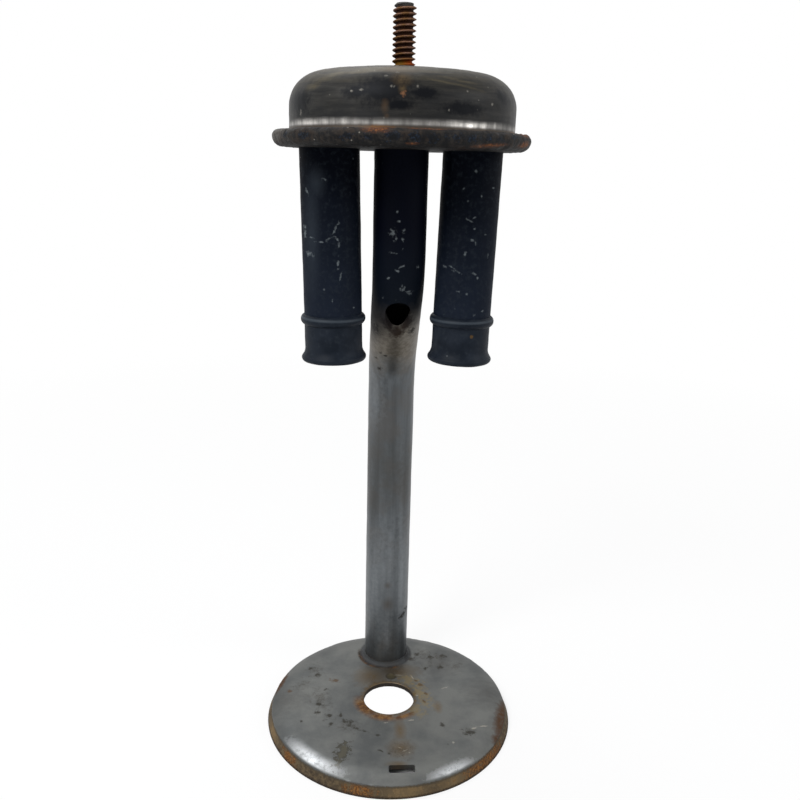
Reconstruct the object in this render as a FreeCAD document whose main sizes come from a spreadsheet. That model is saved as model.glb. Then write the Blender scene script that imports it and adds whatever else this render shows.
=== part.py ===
"""Burner of a two-mantle pressure lantern: base plate, bent air tube, manifold,
two mantle tubes with their caps and screens, and the stud for the ventilator.

The frame: +Z up, +X to the right seen from the generator side, +Y to the back.
The origin is the centre of the base plate's rim, on the plane that it stands on.
All lengths are in millimetres and all angles in degrees."""
import FreeCAD, Part
import math
import os
import Sketcher
from FreeCAD import Placement, Rotation, Vector

document = FreeCAD.newDocument("lantern_burner")
sheet = document.addObject("Spreadsheet::Sheet", "Sizes")
rows = iter("A%d" % row for row in range(1, 200))


class Size:
    """A value together with the expression that binds it to the sheet."""

    def __init__(self, number, text):
        self.number, self.text = number, text

    def combine(self, other, sign, work):
        other = other if isinstance(other, Size) else Size(other, repr(other))
        return Size(work(self.number, other.number), "(%s %s %s)" % (self.text, sign, other.text))

    def __add__(self, other):
        return self.combine(other, "+", lambda a, b: a + b)

    def __sub__(self, other):
        return self.combine(other, "-", lambda a, b: a - b)

    def __mul__(self, other):
        return self.combine(other, "*", lambda a, b: a * b)

    def __truediv__(self, other):
        return self.combine(other, "/", lambda a, b: a / b)

    def __neg__(self):
        return Size(-self.number, "(-1 * %s)" % self.text)


def root(size):
    return Size(math.sqrt(size.number), "sqrt(%s)" % size.text)


def sine(angle):
    return Size(math.sin(math.radians(angle.number)), "sin(%s)" % angle.text)


def cosine(angle):
    return Size(math.cos(math.radians(angle.number)), "cos(%s)" % angle.text)


def chord_radius(run, rise):
    """Radius of an arc that starts level and drops by rise over run."""
    return (run * run + rise * rise) / (rise * 2)


def size(alias, value):
    """Writes one driving dimension into the sheet and returns it."""
    cell = next(rows)
    sheet.set(cell, str(value))
    sheet.setAlias(cell, alias)
    return Size(value, "Sizes." + alias)


ZERO = Size(0, "0")

# Base plate: a disc pressed from steel sheet, with a dished shoulder and a flared skirt
base_radius = size("base_radius", 30.6)
base_height = size("base_height", 3.7)
base_sheet = size("base_sheet", 1.2)
base_flare = size("base_flare", 1.1)
shoulder_run = size("shoulder_run", 4.5)
shoulder_drop = size("shoulder_drop", 1.0)
generator_hole_radius = size("generator_hole_radius", 6.35)
slot_width = size("slot_width", 6.0)
slot_depth = size("slot_depth", 2.35)
slot_corner = size("slot_corner", 0.5)
slot_inset = size("slot_inset", 5.2)
slot_right = size("slot_right", 1.8)
mark_radius = size("mark_radius", 1.35)
mark_depth = size("mark_depth", 0.35)
mark_right = size("mark_right", 2.0)
mark_gap = size("mark_gap", 2.75)
collar_height = size("collar_height", 0.9)
collar_foot = size("collar_foot", 1.2)
collar_lip = size("collar_lip", 0.3)

# Air tube: one steel tube with an S-bend, clenched at both ends
air_radius = size("air_radius", 5.75)
air_wall = size("air_wall", 0.9)
air_inset = size("air_inset", 10.55)
bend_angle = size("bend_angle", 40.0)
bend_radius = size("bend_radius", 17.5)
bend_below = size("bend_below", 20.6)
port_radius = size("port_radius", 2.85)
air_clench = size("air_clench", 1.1)

# Manifold: a deep-drawn cap on a dished plate whose edge is rolled over the cap's flange
plate_bottom = size("plate_bottom", 137.8)
plate_sheet = size("plate_sheet", 1.0)
plate_slope = size("plate_slope", 1.5)
plate_dish = size("plate_dish", 0.15)
rim_reach = size("rim_reach", 3.43)
rim_heel = size("rim_heel", 2.05)
hem_overlap = size("hem_overlap", 0.55)
cap_sheet = size("cap_sheet", 1.0)
cap_margin = size("cap_margin", 1.92)
manifold_height = size("manifold_height", 15.7)
cap_corner = size("cap_corner", 6.5)
cap_crown = size("cap_crown", 130.0)
cap_foot = size("cap_foot", 1.8)

# Mantle tubes: two straight tubes that lean in a little towards their mouths
mantle_radius = size("mantle_radius", 6.35)
mantle_wall = size("mantle_wall", 0.6)
mantle_gap = size("mantle_gap", 3.03)
mantle_lean = size("mantle_lean", 1.35)
mantle_length = size("mantle_length", 34.65)
mantle_clench = size("mantle_clench", 0.5)

# Burner caps: short sleeves pressed into the tubes' mouths, with a bead and a flared lip
neck_length = size("neck_length", 3.0)
neck_wall = size("neck_wall", 0.5)
bead_height = size("bead_height", 2.3)
bead_proud = size("bead_proud", 0.78)
tie_length = size("tie_length", 5.1)
lip_height = size("lip_height", 2.35)
lip_proud = size("lip_proud", 0.83)
lip_round = size("lip_round", 0.8)

# Screens: cups of wire gauze that hang in the caps' necks
screen_sheet = size("screen_sheet", 0.45)
screen_depth = size("screen_depth", 5.0)
screen_corner = size("screen_corner", 1.5)

# Stud: a machine screw whose head is held inside the cap; its shank is plain up to the thread
stud_radius = size("stud_radius", 2.413)
shank_radius = size("shank_radius", 2.1)
shank_rise = size("shank_rise", 0.1)
stud_length = size("stud_length", 12.4)
stud_chamfer = size("stud_chamfer", 0.7)
head_radius = size("head_radius", 4.7)
head_height = size("head_height", 2.7)
head_round = size("head_round", 1.2)

# Clearances
press_clearance = size("press_clearance", 0.03)
hole_clearance = size("hole_clearance", 0.1)
hem_clearance = size("hem_clearance", 0.2)
clench_clearance = size("clench_clearance", 0.2)
stud_clearance = size("stud_clearance", 0.12)
overrun = size("overrun", 2.0)
document.recompute()

# Places that follow from these: the air tube's foot, the mantle tubes, and the head round them
air_offset = base_radius - air_inset
bend_top = plate_bottom - bend_below
mantle_offset = air_radius + mantle_gap + mantle_radius
cap_radius = mantle_offset + mantle_radius + cap_margin
cap_top = plate_bottom + manifold_height
rim_radius = cap_radius + rim_reach


def new_body(label):
    body = document.addObject("PartDesign::Body", label)
    body.Label = label
    return body


def origin_plane(body, role):
    return next(item for item in body.Origin.OriginFeatures if item.Role == role)


def new_sketch(body, name, role, height=None):
    """A sketch on one of the body's own planes, raised by height along its normal."""
    sketch = body.newObject("Sketcher::SketchObject", name)
    sketch.AttachmentSupport = (origin_plane(body, role), [""])
    sketch.MapMode = "FlatFace"
    if height is not None:
        sketch.setExpression("AttachmentOffset.Base.z", height.text)
    return sketch


def bind(sketch, constraint, value):
    """Adds a dimension and ties it to the sheet."""
    index = sketch.addConstraint(constraint)
    sketch.setExpression("Constraints[%d]" % index, value.text)


def bind_point(sketch, edge, end, across, up):
    bind(sketch, Sketcher.Constraint("DistanceX", -1, 1, edge, end, across.number), across)
    bind(sketch, Sketcher.Constraint("DistanceY", -1, 1, edge, end, up.number), up)


def arc_between(start, end, radius, turn):
    """Short arc from start to end that turns left for turn 1 and right for turn -1."""
    chord = end - start
    side = Vector(-chord.y, chord.x, 0).normalize() * turn
    centre = (start + end) / 2 + side * math.sqrt(max(radius ** 2 - chord.Length ** 2 / 4, 0))
    first, last = (start, end) if turn > 0 else (end, start)
    angles = [math.atan2((point - centre).y, (point - centre).x) for point in (first, last)]
    return Part.ArcOfCircle(Part.Circle(centre, Vector(0, 0, 1), radius), *angles)


def draw_outline(sketch, corners, closed=True):
    """Draws corners joined by lines, or by an arc where a corner names (radius, turn)."""
    points = [Vector(corner[0].number, corner[1].number, 0) for corner in corners]
    count = len(corners)
    ends = []
    for index in range(count if closed else count - 1):
        following = (index + 1) % count
        if len(corners[following]) == 4:
            radius, turn = corners[following][2:]
            edge = sketch.addGeometry(arc_between(points[index], points[following], radius.number, turn))
            ends.append((edge, 1, 2) if turn > 0 else (edge, 2, 1))
            bind(sketch, Sketcher.Constraint("Radius", edge, radius.number), radius)
        else:
            edge = sketch.addGeometry(Part.LineSegment(points[index], points[following]))
            ends.append((edge, 1, 2))
    for index, (edge, first, last) in enumerate(ends):
        if closed or index:
            before = ends[index - 1]
            sketch.addConstraint(Sketcher.Constraint("Coincident", before[0], before[2], edge, first))
        bind_point(sketch, edge, first, *corners[index][:2])
    if not closed:
        bind_point(sketch, ends[-1][0], ends[-1][2], *corners[-1][:2])


def draw_circle(sketch, across, up, radius):
    centre = Vector(across.number, up.number, 0)
    edge = sketch.addGeometry(Part.Circle(centre, Vector(0, 0, 1), radius.number))
    bind(sketch, Sketcher.Constraint("Radius", edge, radius.number), radius)
    bind_point(sketch, edge, 3, across, up)


def draw_axis(sketch, across, low, high):
    """An upright construction line that a revolution can turn about."""
    line = Part.LineSegment(Vector(across.number, low.number, 0), Vector(across.number, high.number, 0))
    edge = sketch.addGeometry(line, True)
    bind_point(sketch, edge, 1, across, low)
    bind_point(sketch, edge, 2, across, high)


def finish_feature(body, feature):
    body.Tip = feature
    document.recompute()
    return feature


def revolve(body, name, corners, role="XZ_Plane", axis_at=None):
    """Turns a closed outline about the body's own Z axis, or about an upright line beside it."""
    sketch = new_sketch(body, name + "_outline", role)
    draw_outline(sketch, corners)
    if axis_at is not None:
        draw_axis(sketch, axis_at, ZERO, base_height)
    turned = body.newObject("PartDesign::Revolution", name)
    turned.Profile = sketch
    turned.ReferenceAxis = (sketch, ["V_Axis" if axis_at is None else "Axis0"])
    turned.Angle = 360
    return finish_feature(body, turned)


def pocket(body, name, sketch, depth, upward=False):
    """Cuts a sketch through the solid: down from its plane, or up where upward."""
    cut = body.newObject("PartDesign::Pocket", name)
    cut.Profile = sketch
    cut.Reversed = upward
    cut.setExpression("Length", depth.text)
    before = body.Shape.Volume
    finish_feature(body, cut)
    assert body.Shape.Volume < before, name + " cuts nothing"
    return cut


def round_hole(body, name, across, up, radius, top, depth):
    """A round hole, cut downwards from the height top."""
    sketch = new_sketch(body, name + "_outline", "XY_Plane", top)
    draw_circle(sketch, across, up, radius)
    return pocket(body, name, sketch, depth)


def clenched_end(inner, outer, wall, seat, spread, side):
    """Outline of a tube's end turned out over a plate: side 1 lies above it, -1 below it."""
    bend = wall + spread / 2
    face = seat + wall * side
    return [
        (inner, seat - wall * side * 2),
        (outer, seat - wall * side * 2),
        (outer, seat),
        (outer + spread, seat),
        (outer + spread, face),
        (inner + bend, face),
        (inner, face - bend * side, bend, side),
    ]


def base_plate():
    """The pressed disc that the burner stands on, over the lantern's fount."""
    body = new_body("base_plate")
    shoulder = chord_radius(shoulder_run, shoulder_drop)
    crease_radius = base_radius - base_flare
    base_flat_radius = crease_radius - shoulder_run
    crease_height = base_height - shoulder_drop
    skirt = root(base_flare * base_flare + crease_height * crease_height)
    inner_share = (shoulder - base_sheet) / shoulder
    revolve(body, "disc", [
        (generator_hole_radius, base_height - base_sheet),
        (generator_hole_radius, base_height),
        (base_flat_radius, base_height),
        (crease_radius, crease_height, shoulder, -1),
        (base_radius, ZERO),
        (base_radius - base_sheet * skirt / crease_height, ZERO),
        (base_flat_radius + shoulder_run * inner_share,
         base_height - shoulder + (shoulder - shoulder_drop) * inner_share),
        (base_flat_radius, base_height - base_sheet, shoulder - base_sheet, 1),
    ])
    hole = air_radius + press_clearance
    foot = air_offset + hole
    revolve(body, "collar", [
        (foot - base_sheet / 2, base_height - base_sheet),
        (foot + collar_foot, base_height - base_sheet),
        (foot + collar_foot, base_height),
        (foot + collar_lip, base_height + collar_height, collar_foot - collar_lip, -1),
        (foot - base_sheet / 2, base_height + collar_height),
    ], role="YZ_Plane", axis_at=air_offset)
    above = base_height + collar_height + overrun
    round_hole(body, "tube_hole", ZERO, air_offset, hole, above, above)
    slot = new_sketch(body, "slot_outline", "XY_Plane", above)
    right = slot_right + slot_width / 2
    left = right - slot_width
    near = slot_inset - base_radius - slot_depth / 2
    far = near + slot_depth
    draw_outline(slot, [
        (right - slot_corner, near),
        (right, near + slot_corner, slot_corner, 1),
        (right, far - slot_corner),
        (right - slot_corner, far, slot_corner, 1),
        (left + slot_corner, far),
        (left, far - slot_corner, slot_corner, 1),
        (left, near + slot_corner),
        (left + slot_corner, near, slot_corner, 1),
    ])
    pocket(body, "slot", slot, above)
    weld_mark = body.newObject("PartDesign::SubtractiveSphere", "weld_mark")
    mark_sphere = chord_radius(mark_radius, mark_depth)
    weld_mark.setExpression("Radius", mark_sphere.text)
    weld_mark.setExpression("Placement.Base.x", mark_right.text)
    weld_mark.setExpression("Placement.Base.y", (generator_hole_radius + mark_gap).text)
    weld_mark.setExpression("Placement.Base.z", (base_height - mark_depth + mark_sphere).text)
    finish_feature(body, weld_mark)
    return body


def air_tube():
    """The bent tube that leads air and the jet of vapour from the base to the manifold."""
    body = new_body("air_tube")
    foot = base_height - base_sheet
    head = plate_bottom + plate_sheet
    swing = bend_radius * (cosine(bend_angle) * -1 + 1)
    drop = bend_radius * sine(bend_angle)
    slant = (air_offset - swing * 2) / sine(bend_angle)
    lean_top = bend_top - drop
    lean_bottom = lean_top - slant * cosine(bend_angle)
    path = new_sketch(body, "path", "YZ_Plane")
    draw_outline(path, [
        (air_offset, foot),
        (air_offset, lean_bottom - drop),
        (air_offset - swing, lean_bottom, bend_radius, 1),
        (swing, lean_top),
        (ZERO, bend_top, bend_radius, -1),
        (ZERO, head),
    ], closed=False)
    section = new_sketch(body, "section", "XY_Plane", foot)
    draw_circle(section, ZERO, air_offset, air_radius)
    draw_circle(section, ZERO, air_offset, air_radius - air_wall)
    pipe = body.newObject("PartDesign::AdditivePipe", "pipe")
    pipe.Profile = section
    pipe.Spine = path
    finish_feature(body, pipe)
    inner = air_radius - air_wall
    revolve(body, "head_clench",
            clenched_end(inner, air_radius, air_wall, head + clench_clearance / 2, air_clench, 1),
            role="YZ_Plane")
    under = foot - clench_clearance
    foot_outline = clenched_end(inner, air_radius, air_wall, under, air_clench, -1)
    revolve(body, "foot_clench", [(air_offset + corner[0],) + corner[1:] for corner in foot_outline],
            role="YZ_Plane", axis_at=air_offset)
    port = new_sketch(body, "port_outline", "XY_Plane")
    draw_circle(port, ZERO, ZERO, port_radius)
    pocket(body, "port", port, bend_top, upward=True)
    return body


def rim_levels():
    """Heights of the manifold's rim: the plate's upper face under the flange, and the hem."""
    flange = plate_bottom + plate_dish + plate_sheet
    hem = flange + cap_sheet + hem_clearance
    return flange, hem


def manifold_plate():
    """The dished plate that closes the manifold and carries the three tubes."""
    body = new_body("manifold_plate")
    flange, hem = rim_levels()
    nose = plate_bottom + plate_dish + rim_heel
    hem_top = hem + plate_sheet
    pocket_radius = (hem - flange) / 2
    hem_turn = rim_radius - plate_sheet - pocket_radius
    hem_edge = hem_turn - hem_overlap
    heel_radius = rim_radius - rim_heel
    plate_flat_radius = heel_radius - plate_slope
    revolve(body, "pan", [
        (air_radius + hole_clearance, plate_bottom),
        (plate_flat_radius, plate_bottom),
        (heel_radius, plate_bottom + plate_dish),
        (rim_radius, nose, rim_heel, 1),
        (rim_radius - (hem_top - nose), hem_top, hem_top - nose, 1),
        (hem_edge, hem_top),
        (hem_edge, hem),
        (hem_turn, hem),
        (hem_turn + pocket_radius, flange + pocket_radius, pocket_radius, -1),
        (hem_turn, flange, pocket_radius, -1),
        (heel_radius, flange),
        (plate_flat_radius, plate_bottom + plate_sheet),
        (air_radius + hole_clearance, plate_bottom + plate_sheet),
    ])
    for name, side in (("left_hole", -mantle_offset), ("right_hole", mantle_offset)):
        round_hole(body, name, side, ZERO, mantle_radius + hole_clearance,
                   hem_top, hem_top - plate_bottom + overrun)
    return body


def manifold_cap():
    """The deep-drawn cap, with a foot fillet and a flange that the plate's hem grips."""
    body = new_body("manifold_cap")
    flange, hem = rim_levels()
    flange_top = flange + cap_sheet
    flange_radius = rim_radius - plate_sheet - (hem - flange) / 2
    wall_foot = flange_top + cap_foot
    crown_centre = cap_top - cap_crown
    reach = cap_crown - cap_corner
    inset = cap_radius - cap_corner
    rise = root(reach * reach - inset * inset)
    inner_crown = cap_crown - cap_sheet
    hole = stud_radius + stud_clearance
    revolve(body, "shell", [
        (hole, crown_centre + root(cap_crown * cap_crown - hole * hole)),
        (inset * cap_crown / reach, crown_centre + rise * cap_crown / reach, cap_crown, -1),
        (cap_radius, crown_centre + rise, cap_corner, -1),
        (cap_radius, wall_foot),
        (cap_radius + cap_foot, flange_top, cap_foot, 1),
        (flange_radius, flange_top),
        (flange_radius, flange),
        (cap_radius + cap_foot, flange),
        (cap_radius - cap_sheet, wall_foot, cap_foot + cap_sheet, -1),
        (cap_radius - cap_sheet, crown_centre + rise),
        (inset * inner_crown / reach, crown_centre + rise * inner_crown / reach,
         cap_corner - cap_sheet, 1),
        (hole, crown_centre + root(inner_crown * inner_crown - hole * hole), inner_crown, 1),
    ])
    return body


def place_on_lean(body, side):
    """Puts a body built on a mantle tube's own axis at that tube's hole, leaning inwards."""
    turn = mantle_lean * side
    body.Placement = Placement(Vector(mantle_offset.number * side, 0, plate_bottom.number),
                               Rotation(Vector(0, 1, 0), turn.number))
    body.setExpression("Placement.Base.x", (mantle_offset * side).text)
    body.setExpression("Placement.Base.z", plate_bottom.text)
    body.setExpression("Placement.Rotation.Angle", turn.text)
    document.recompute()


def mantle_tube(side_name, side):
    """One of the two tubes that lead the mixture down to the mantles."""
    body = new_body("mantle_tube_" + side_name)
    inner = mantle_radius - mantle_wall
    seat = plate_sheet + clench_clearance
    outline = clenched_end(inner, mantle_radius, mantle_wall, seat, mantle_clench, 1)
    outline[0] = (inner, -mantle_length)
    outline[1] = (mantle_radius, -mantle_length)
    revolve(body, "tube_" + side_name, outline)
    place_on_lean(body, side)
    return body


def burner_cap(side_name, side):
    """The sleeve in a tube's mouth: a bead that stops it, a neck to tie to, a flared lip
    whose edge is rolled round."""
    body = new_body("burner_cap_" + side_name)
    inner = mantle_radius - mantle_wall
    neck = inner - press_clearance
    bead_top = -mantle_length
    bead_foot = bead_top - bead_height
    bead_arc = chord_radius(bead_height / 2, bead_proud)
    inner_half = bead_height / 2 - mantle_wall / 2
    inner_arc = chord_radius(inner_half, bead_proud - mantle_wall / 2)
    flare_start = bead_foot - tie_length
    flare = chord_radius(lip_height, lip_proud) - lip_round
    flare_share = flare / (flare + lip_round)
    rolled = lip_height + lip_round
    lip_reach = lip_proud - lip_round
    bead_middle = bead_top - bead_height / 2
    revolve(body, "sleeve_" + side_name, [
        (neck - neck_wall, bead_top + neck_length),
        (neck, bead_top + neck_length),
        (neck, bead_top),
        (mantle_radius, bead_top),
        (mantle_radius, bead_foot, bead_arc, -1),
        (mantle_radius, flare_start),
        (mantle_radius + flare + (lip_reach - flare) * flare_share,
         flare_start - lip_height * flare_share, flare, 1),
        (mantle_radius + lip_reach, flare_start - rolled, lip_round, -1),
        (inner, flare_start, chord_radius(rolled, lip_reach + mantle_wall), -1),
        (inner, bead_middle - inner_half),
        (inner, bead_middle + inner_half, inner_arc, 1),
        (inner, bead_top - mantle_wall / 4),
        (neck - neck_wall, bead_top + mantle_wall / 4),
    ])
    place_on_lean(body, side)
    return body


def screen(side_name, side):
    """The gauze cup whose flange rests on the neck of a burner cap."""
    body = new_body("screen_" + side_name)
    top = -mantle_length + neck_length
    flange_radius = mantle_radius - mantle_wall - press_clearance
    outer = flange_radius - neck_wall - press_clearance
    inner = outer - screen_sheet
    floor = top - screen_depth
    revolve(body, "cup_" + side_name, [
        (ZERO, floor),
        (outer - screen_corner, floor),
        (outer, floor + screen_corner, screen_corner, 1),
        (outer, top),
        (flange_radius, top),
        (flange_radius, top + screen_sheet),
        (inner, top + screen_sheet),
        (inner, floor + screen_corner),
        (outer - screen_corner, floor + screen_sheet, screen_corner - screen_sheet, -1),
        (ZERO, floor + screen_sheet),
    ])
    place_on_lean(body, side)
    return body


def stud():
    """The machine screw that stands up through the cap and takes the ventilator's nut."""
    body = new_body("stud")
    seat = cap_top - cap_sheet - chord_sag(head_radius, cap_crown - cap_sheet)
    head_foot = seat - head_height
    top = cap_top + stud_length
    revolve(body, "screw", [
        (ZERO, head_foot),
        (head_radius - head_round, head_foot),
        (head_radius, head_foot + head_round, head_round, 1),
        (head_radius, seat),
        (shank_radius, seat),
        (shank_radius, cap_top + shank_rise),
        (stud_radius, cap_top + shank_rise + stud_radius - shank_radius),
        (stud_radius, top - stud_chamfer),
        (stud_radius - stud_chamfer, top),
        (ZERO, top),
    ])
    return body


def chord_sag(run, radius):
    """How far a dome of this radius falls away at the distance run from its axis."""
    return radius - root(radius * radius - run * run)


bodies = [base_plate(), air_tube(), manifold_plate(), manifold_cap()]
for side_name, side in (("left", -1), ("right", 1)):
    bodies += [mantle_tube(side_name, side), burner_cap(side_name, side), screen(side_name, side)]
bodies.append(stud())
document.recompute()

failed = [item.Label for item in document.Objects if {"Invalid", "Error"} & set(item.State)]
assert not failed, failed
for body in bodies:
    assert not body.Shape.isNull() and body.Shape.isValid(), body.Label
os.makedirs("parts", exist_ok=True)
for body in bodies:
    body.Shape.exportStep("parts/%s.step" % body.Label)
    box = body.Shape.BoundBox
    print("%-18s solids %d volume %8.1f  X %.2f %.2f  Y %.2f %.2f  Z %.2f %.2f" % (
        body.Label, len(body.Shape.Solids), body.Shape.Volume,
        box.XMin, box.XMax, box.YMin, box.YMax, box.ZMin, box.ZMax))
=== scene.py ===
"""Burner of a two-mantle pressure lantern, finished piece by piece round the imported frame.

Lengths are written in millimetres and become metres where a mesh, a lamp or the camera is
made. +Z is up, +X is to the right seen from the generator side, +Y points to the back."""
import math

import bmesh
import bpy
from mathutils import Matrix, Vector, noise


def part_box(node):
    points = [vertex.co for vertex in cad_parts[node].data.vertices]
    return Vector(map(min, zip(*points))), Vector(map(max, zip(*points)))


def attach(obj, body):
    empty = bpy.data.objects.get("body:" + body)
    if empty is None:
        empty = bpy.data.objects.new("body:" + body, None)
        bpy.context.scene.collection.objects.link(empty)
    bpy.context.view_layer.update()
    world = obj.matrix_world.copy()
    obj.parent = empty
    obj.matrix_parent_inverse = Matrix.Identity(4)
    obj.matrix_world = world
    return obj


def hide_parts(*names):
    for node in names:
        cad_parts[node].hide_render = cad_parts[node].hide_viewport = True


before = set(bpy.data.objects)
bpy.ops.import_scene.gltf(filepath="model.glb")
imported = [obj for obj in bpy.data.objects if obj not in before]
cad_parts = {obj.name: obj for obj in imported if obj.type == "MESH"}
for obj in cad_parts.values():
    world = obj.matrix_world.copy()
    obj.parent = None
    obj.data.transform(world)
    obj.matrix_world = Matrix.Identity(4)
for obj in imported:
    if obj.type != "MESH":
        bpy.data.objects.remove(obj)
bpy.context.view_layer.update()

# The base disc: pressed from 1.2 mm cold-rolled steel, with a dished shoulder and a flared skirt
# that stands on the lantern's fount. Bare and dull, stained with burnt fuel, and rusted at every
# cut edge: the skirt, the generator's hole and the foot of the air tube.
MM = 0.001
disc_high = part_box("base_plate")[1] / MM
AIR_RADIUS = 5.75
AIR_CLENCH = 1.1
AIR_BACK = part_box("air_tube")[1].y / MM - AIR_RADIUS - AIR_CLENCH
DISC_RADIUS = disc_high.x
DISC_SHEET = 1.2
COLLAR_HEIGHT = 0.9
COLLAR_REACH = 1.35
COLLAR_LIP = 0.3
COLLAR_EDGE = 0.08
TUBE_HOLE_GAP = 0.03
DISC_TOP = disc_high.z - COLLAR_HEIGHT
SHOULDER_RUN, SHOULDER_DROP = 4.5, 1.0
SHOULDER_ROUND = 10.625
SKIRT_FLARE = 1.1
SKIRT_FOOT, SKIRT_EDGE, SMOOTH_SHARE = 0.4, 0.3, 0.12
HOLE_RADIUS = 6.35
SLOT = (6.0, 2.35)
SLOT_PLACE = (1.8, -25.4)
SLOT_CORNER = 0.5
WELD_PLACE = Vector((1.0, 9.0))
WELD_RADIUS, WELD_DEPTH = 1.35, 0.14
WELD_LIP_SHARES = (1.1, 0.3, 0.25)
EDGE_ROUND = 0.25
DISC_STEP, COLLAR_STEP, SLOT_STEP = 0.27, 0.2, 0.5
ARC_LEAST, SAME_SPOT = 5, 0.001
LUMP_NOISE = (1.0, 2.0, 3)
SHARP_ANGLE = math.radians(38)


def trace(corners, step, closed=True):
    """Points at most one step apart along an outline of (across, up) corners. A third number is
    the radius of the arc that reaches that corner, positive where it turns left."""
    points = []
    starts = corners[-1:] + corners[:-1] if closed else corners[:-1]
    for before, corner in zip(starts, corners if closed else corners[1:]):
        start, end = Vector(before[:2]), Vector(corner[:2])
        chord = end - start
        if len(corner) == 2:
            count = max(1, math.ceil(chord.length / step))
            points += [start.lerp(end, part / count) for part in range(count)]
            continue
        radius = corner[2]
        half = math.asin(min(1, chord.length / 2 / abs(radius)))
        middle = Vector((-chord.y, chord.x)).normalized() * radius * math.cos(half)
        centre = (start + end) / 2 + middle
        turn = math.copysign(2 * half, radius)
        count = max(ARC_LEAST, math.ceil(abs(turn * radius) / step))
        points += [centre + Matrix.Rotation(turn * part / count, 2) @ (start - centre)
                   for part in range(count)]
    return points if closed else points + [Vector(corners[-1][:2])]


def solid(name, spots, faces):
    """A mesh object from points in millimetres and faces, with its normals outwards."""
    mesh = bpy.data.meshes.new(name)
    mesh.from_pydata([spot * MM for spot in spots], [], faces)
    form = bmesh.new()
    form.from_mesh(mesh)
    bmesh.ops.remove_doubles(form, verts=form.verts, dist=SAME_SPOT * MM)
    bmesh.ops.recalc_face_normals(form, faces=form.faces)
    form.to_mesh(mesh)
    form.free()
    piece = bpy.data.objects.new(name, mesh)
    bpy.context.scene.collection.objects.link(piece)
    return piece


def turned(name, outline, sides, line=None, closed=True):
    """An outline of (radius, height) points turned about the Z axis, or carried round a bent one
    whose line gives the matrix at each height."""
    line = line or (lambda height: Matrix.Translation((0, 0, height)))
    turns = [Matrix.Rotation(2 * math.pi * side / sides, 4, "Z") for side in range(sides)]
    spots, faces = [], []
    for radius, height in outline:
        here = line(height)
        spots += [here @ (turn @ Vector((radius, 0, 0))) for turn in turns]
    for ring in range(len(outline) if closed else len(outline) - 1):
        low, high = ring * sides, (ring + 1) % len(outline) * sides
        faces += [(low + side, low + (side + 1) % sides, high + (side + 1) % sides, high + side)
                  for side in range(sides)]
    return solid(name, spots, faces)


def prism(name, outline, low, high):
    """An upright block whose plan is an outline of (x, y) points."""
    count = len(outline)
    spots = [Vector((*point, height)) for height in (low, high) for point in outline]
    faces = [(at, (at + 1) % count, (at + 1) % count + count, at + count) for at in range(count)]
    return solid(name, spots, faces + [tuple(range(count)), tuple(range(count, 2 * count))])


def round_plan(across, back, radius, sides=96):
    """The plan of an upright round cutter."""
    return [Vector((across, back)) + Matrix.Rotation(2 * math.pi * side / sides, 2) @ Vector((radius, 0))
            for side in range(sides)]


def combine(piece, tool, operation):
    """Cuts the tool's form out of the piece, or joins it on, and drops the tool."""
    change = piece.modifiers.new(tool.name, "BOOLEAN")
    change.object, change.operation, change.solver = tool, operation, "EXACT"
    drawn = piece.evaluated_get(bpy.context.evaluated_depsgraph_get())
    piece.data = bpy.data.meshes.new_from_object(drawn)
    piece.modifiers.clear()
    bpy.data.objects.remove(tool)


def uneven(piece, depth, grain, seed, share=lambda spot: 1.0):
    """Moves the surface in and out in lumps about one grain wide, by up to about depth times the
    share that a spot asks for."""
    mesh = piece.data
    normals = [normal.vector.copy() for normal in mesh.vertex_normals]
    for vertex, normal in zip(mesh.vertices, normals):
        spot = vertex.co / MM
        lump = noise.fractal(spot / grain + Vector((seed, seed, seed)), *LUMP_NOISE)
        vertex.co += normal * lump * depth * share(spot) * MM
    mesh.update()


crease = DISC_RADIUS - SKIRT_FLARE
flat = crease - SHOULDER_RUN
skirt_top = DISC_TOP - SHOULDER_DROP
skirt_slope = math.hypot(SKIRT_FLARE, skirt_top) / skirt_top
inner_share = (SHOULDER_ROUND - DISC_SHEET) / SHOULDER_ROUND
disc_outline = trace([
    (HOLE_RADIUS, DISC_TOP - DISC_SHEET),
    (HOLE_RADIUS, DISC_TOP - EDGE_ROUND),
    (HOLE_RADIUS + EDGE_ROUND, DISC_TOP, -EDGE_ROUND),
    (flat, DISC_TOP),
    (crease, skirt_top, -SHOULDER_ROUND),
    (DISC_RADIUS, 0),
    (DISC_RADIUS - DISC_SHEET * skirt_slope, 0),
    (flat + SHOULDER_RUN * inner_share,
     DISC_TOP - SHOULDER_ROUND + (SHOULDER_ROUND - SHOULDER_DROP) * inner_share),
    (flat, DISC_TOP - DISC_SHEET, SHOULDER_ROUND - DISC_SHEET),
], DISC_STEP)
disc = turned("base_disc", disc_outline, sides=420)
uneven(disc, depth=0.07, grain=9.0, seed=3, share=lambda spot: 1.0 if spot.z > SKIRT_FOOT else 0.0)
uneven(disc, depth=0.05, grain=1.1, seed=5,
       share=lambda spot: 1.0 if SKIRT_EDGE < spot.z < skirt_top else SMOOTH_SHARE)
lip, lip_half, lip_share = WELD_LIP_SHARES
for vertex in disc.data.vertices:
    away = (vertex.co.xy / MM - WELD_PLACE).length / WELD_RADIUS
    if away < lip + lip_half and vertex.co.z > (DISC_TOP - DISC_SHEET / 2) * MM:
        raised = lip_share * max(0, 1 - abs(away - lip) / lip_half)
        vertex.co.z += WELD_DEPTH * MM * (min(0, away * away - 1) + raised)
collar_foot = AIR_RADIUS + COLLAR_REACH
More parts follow.
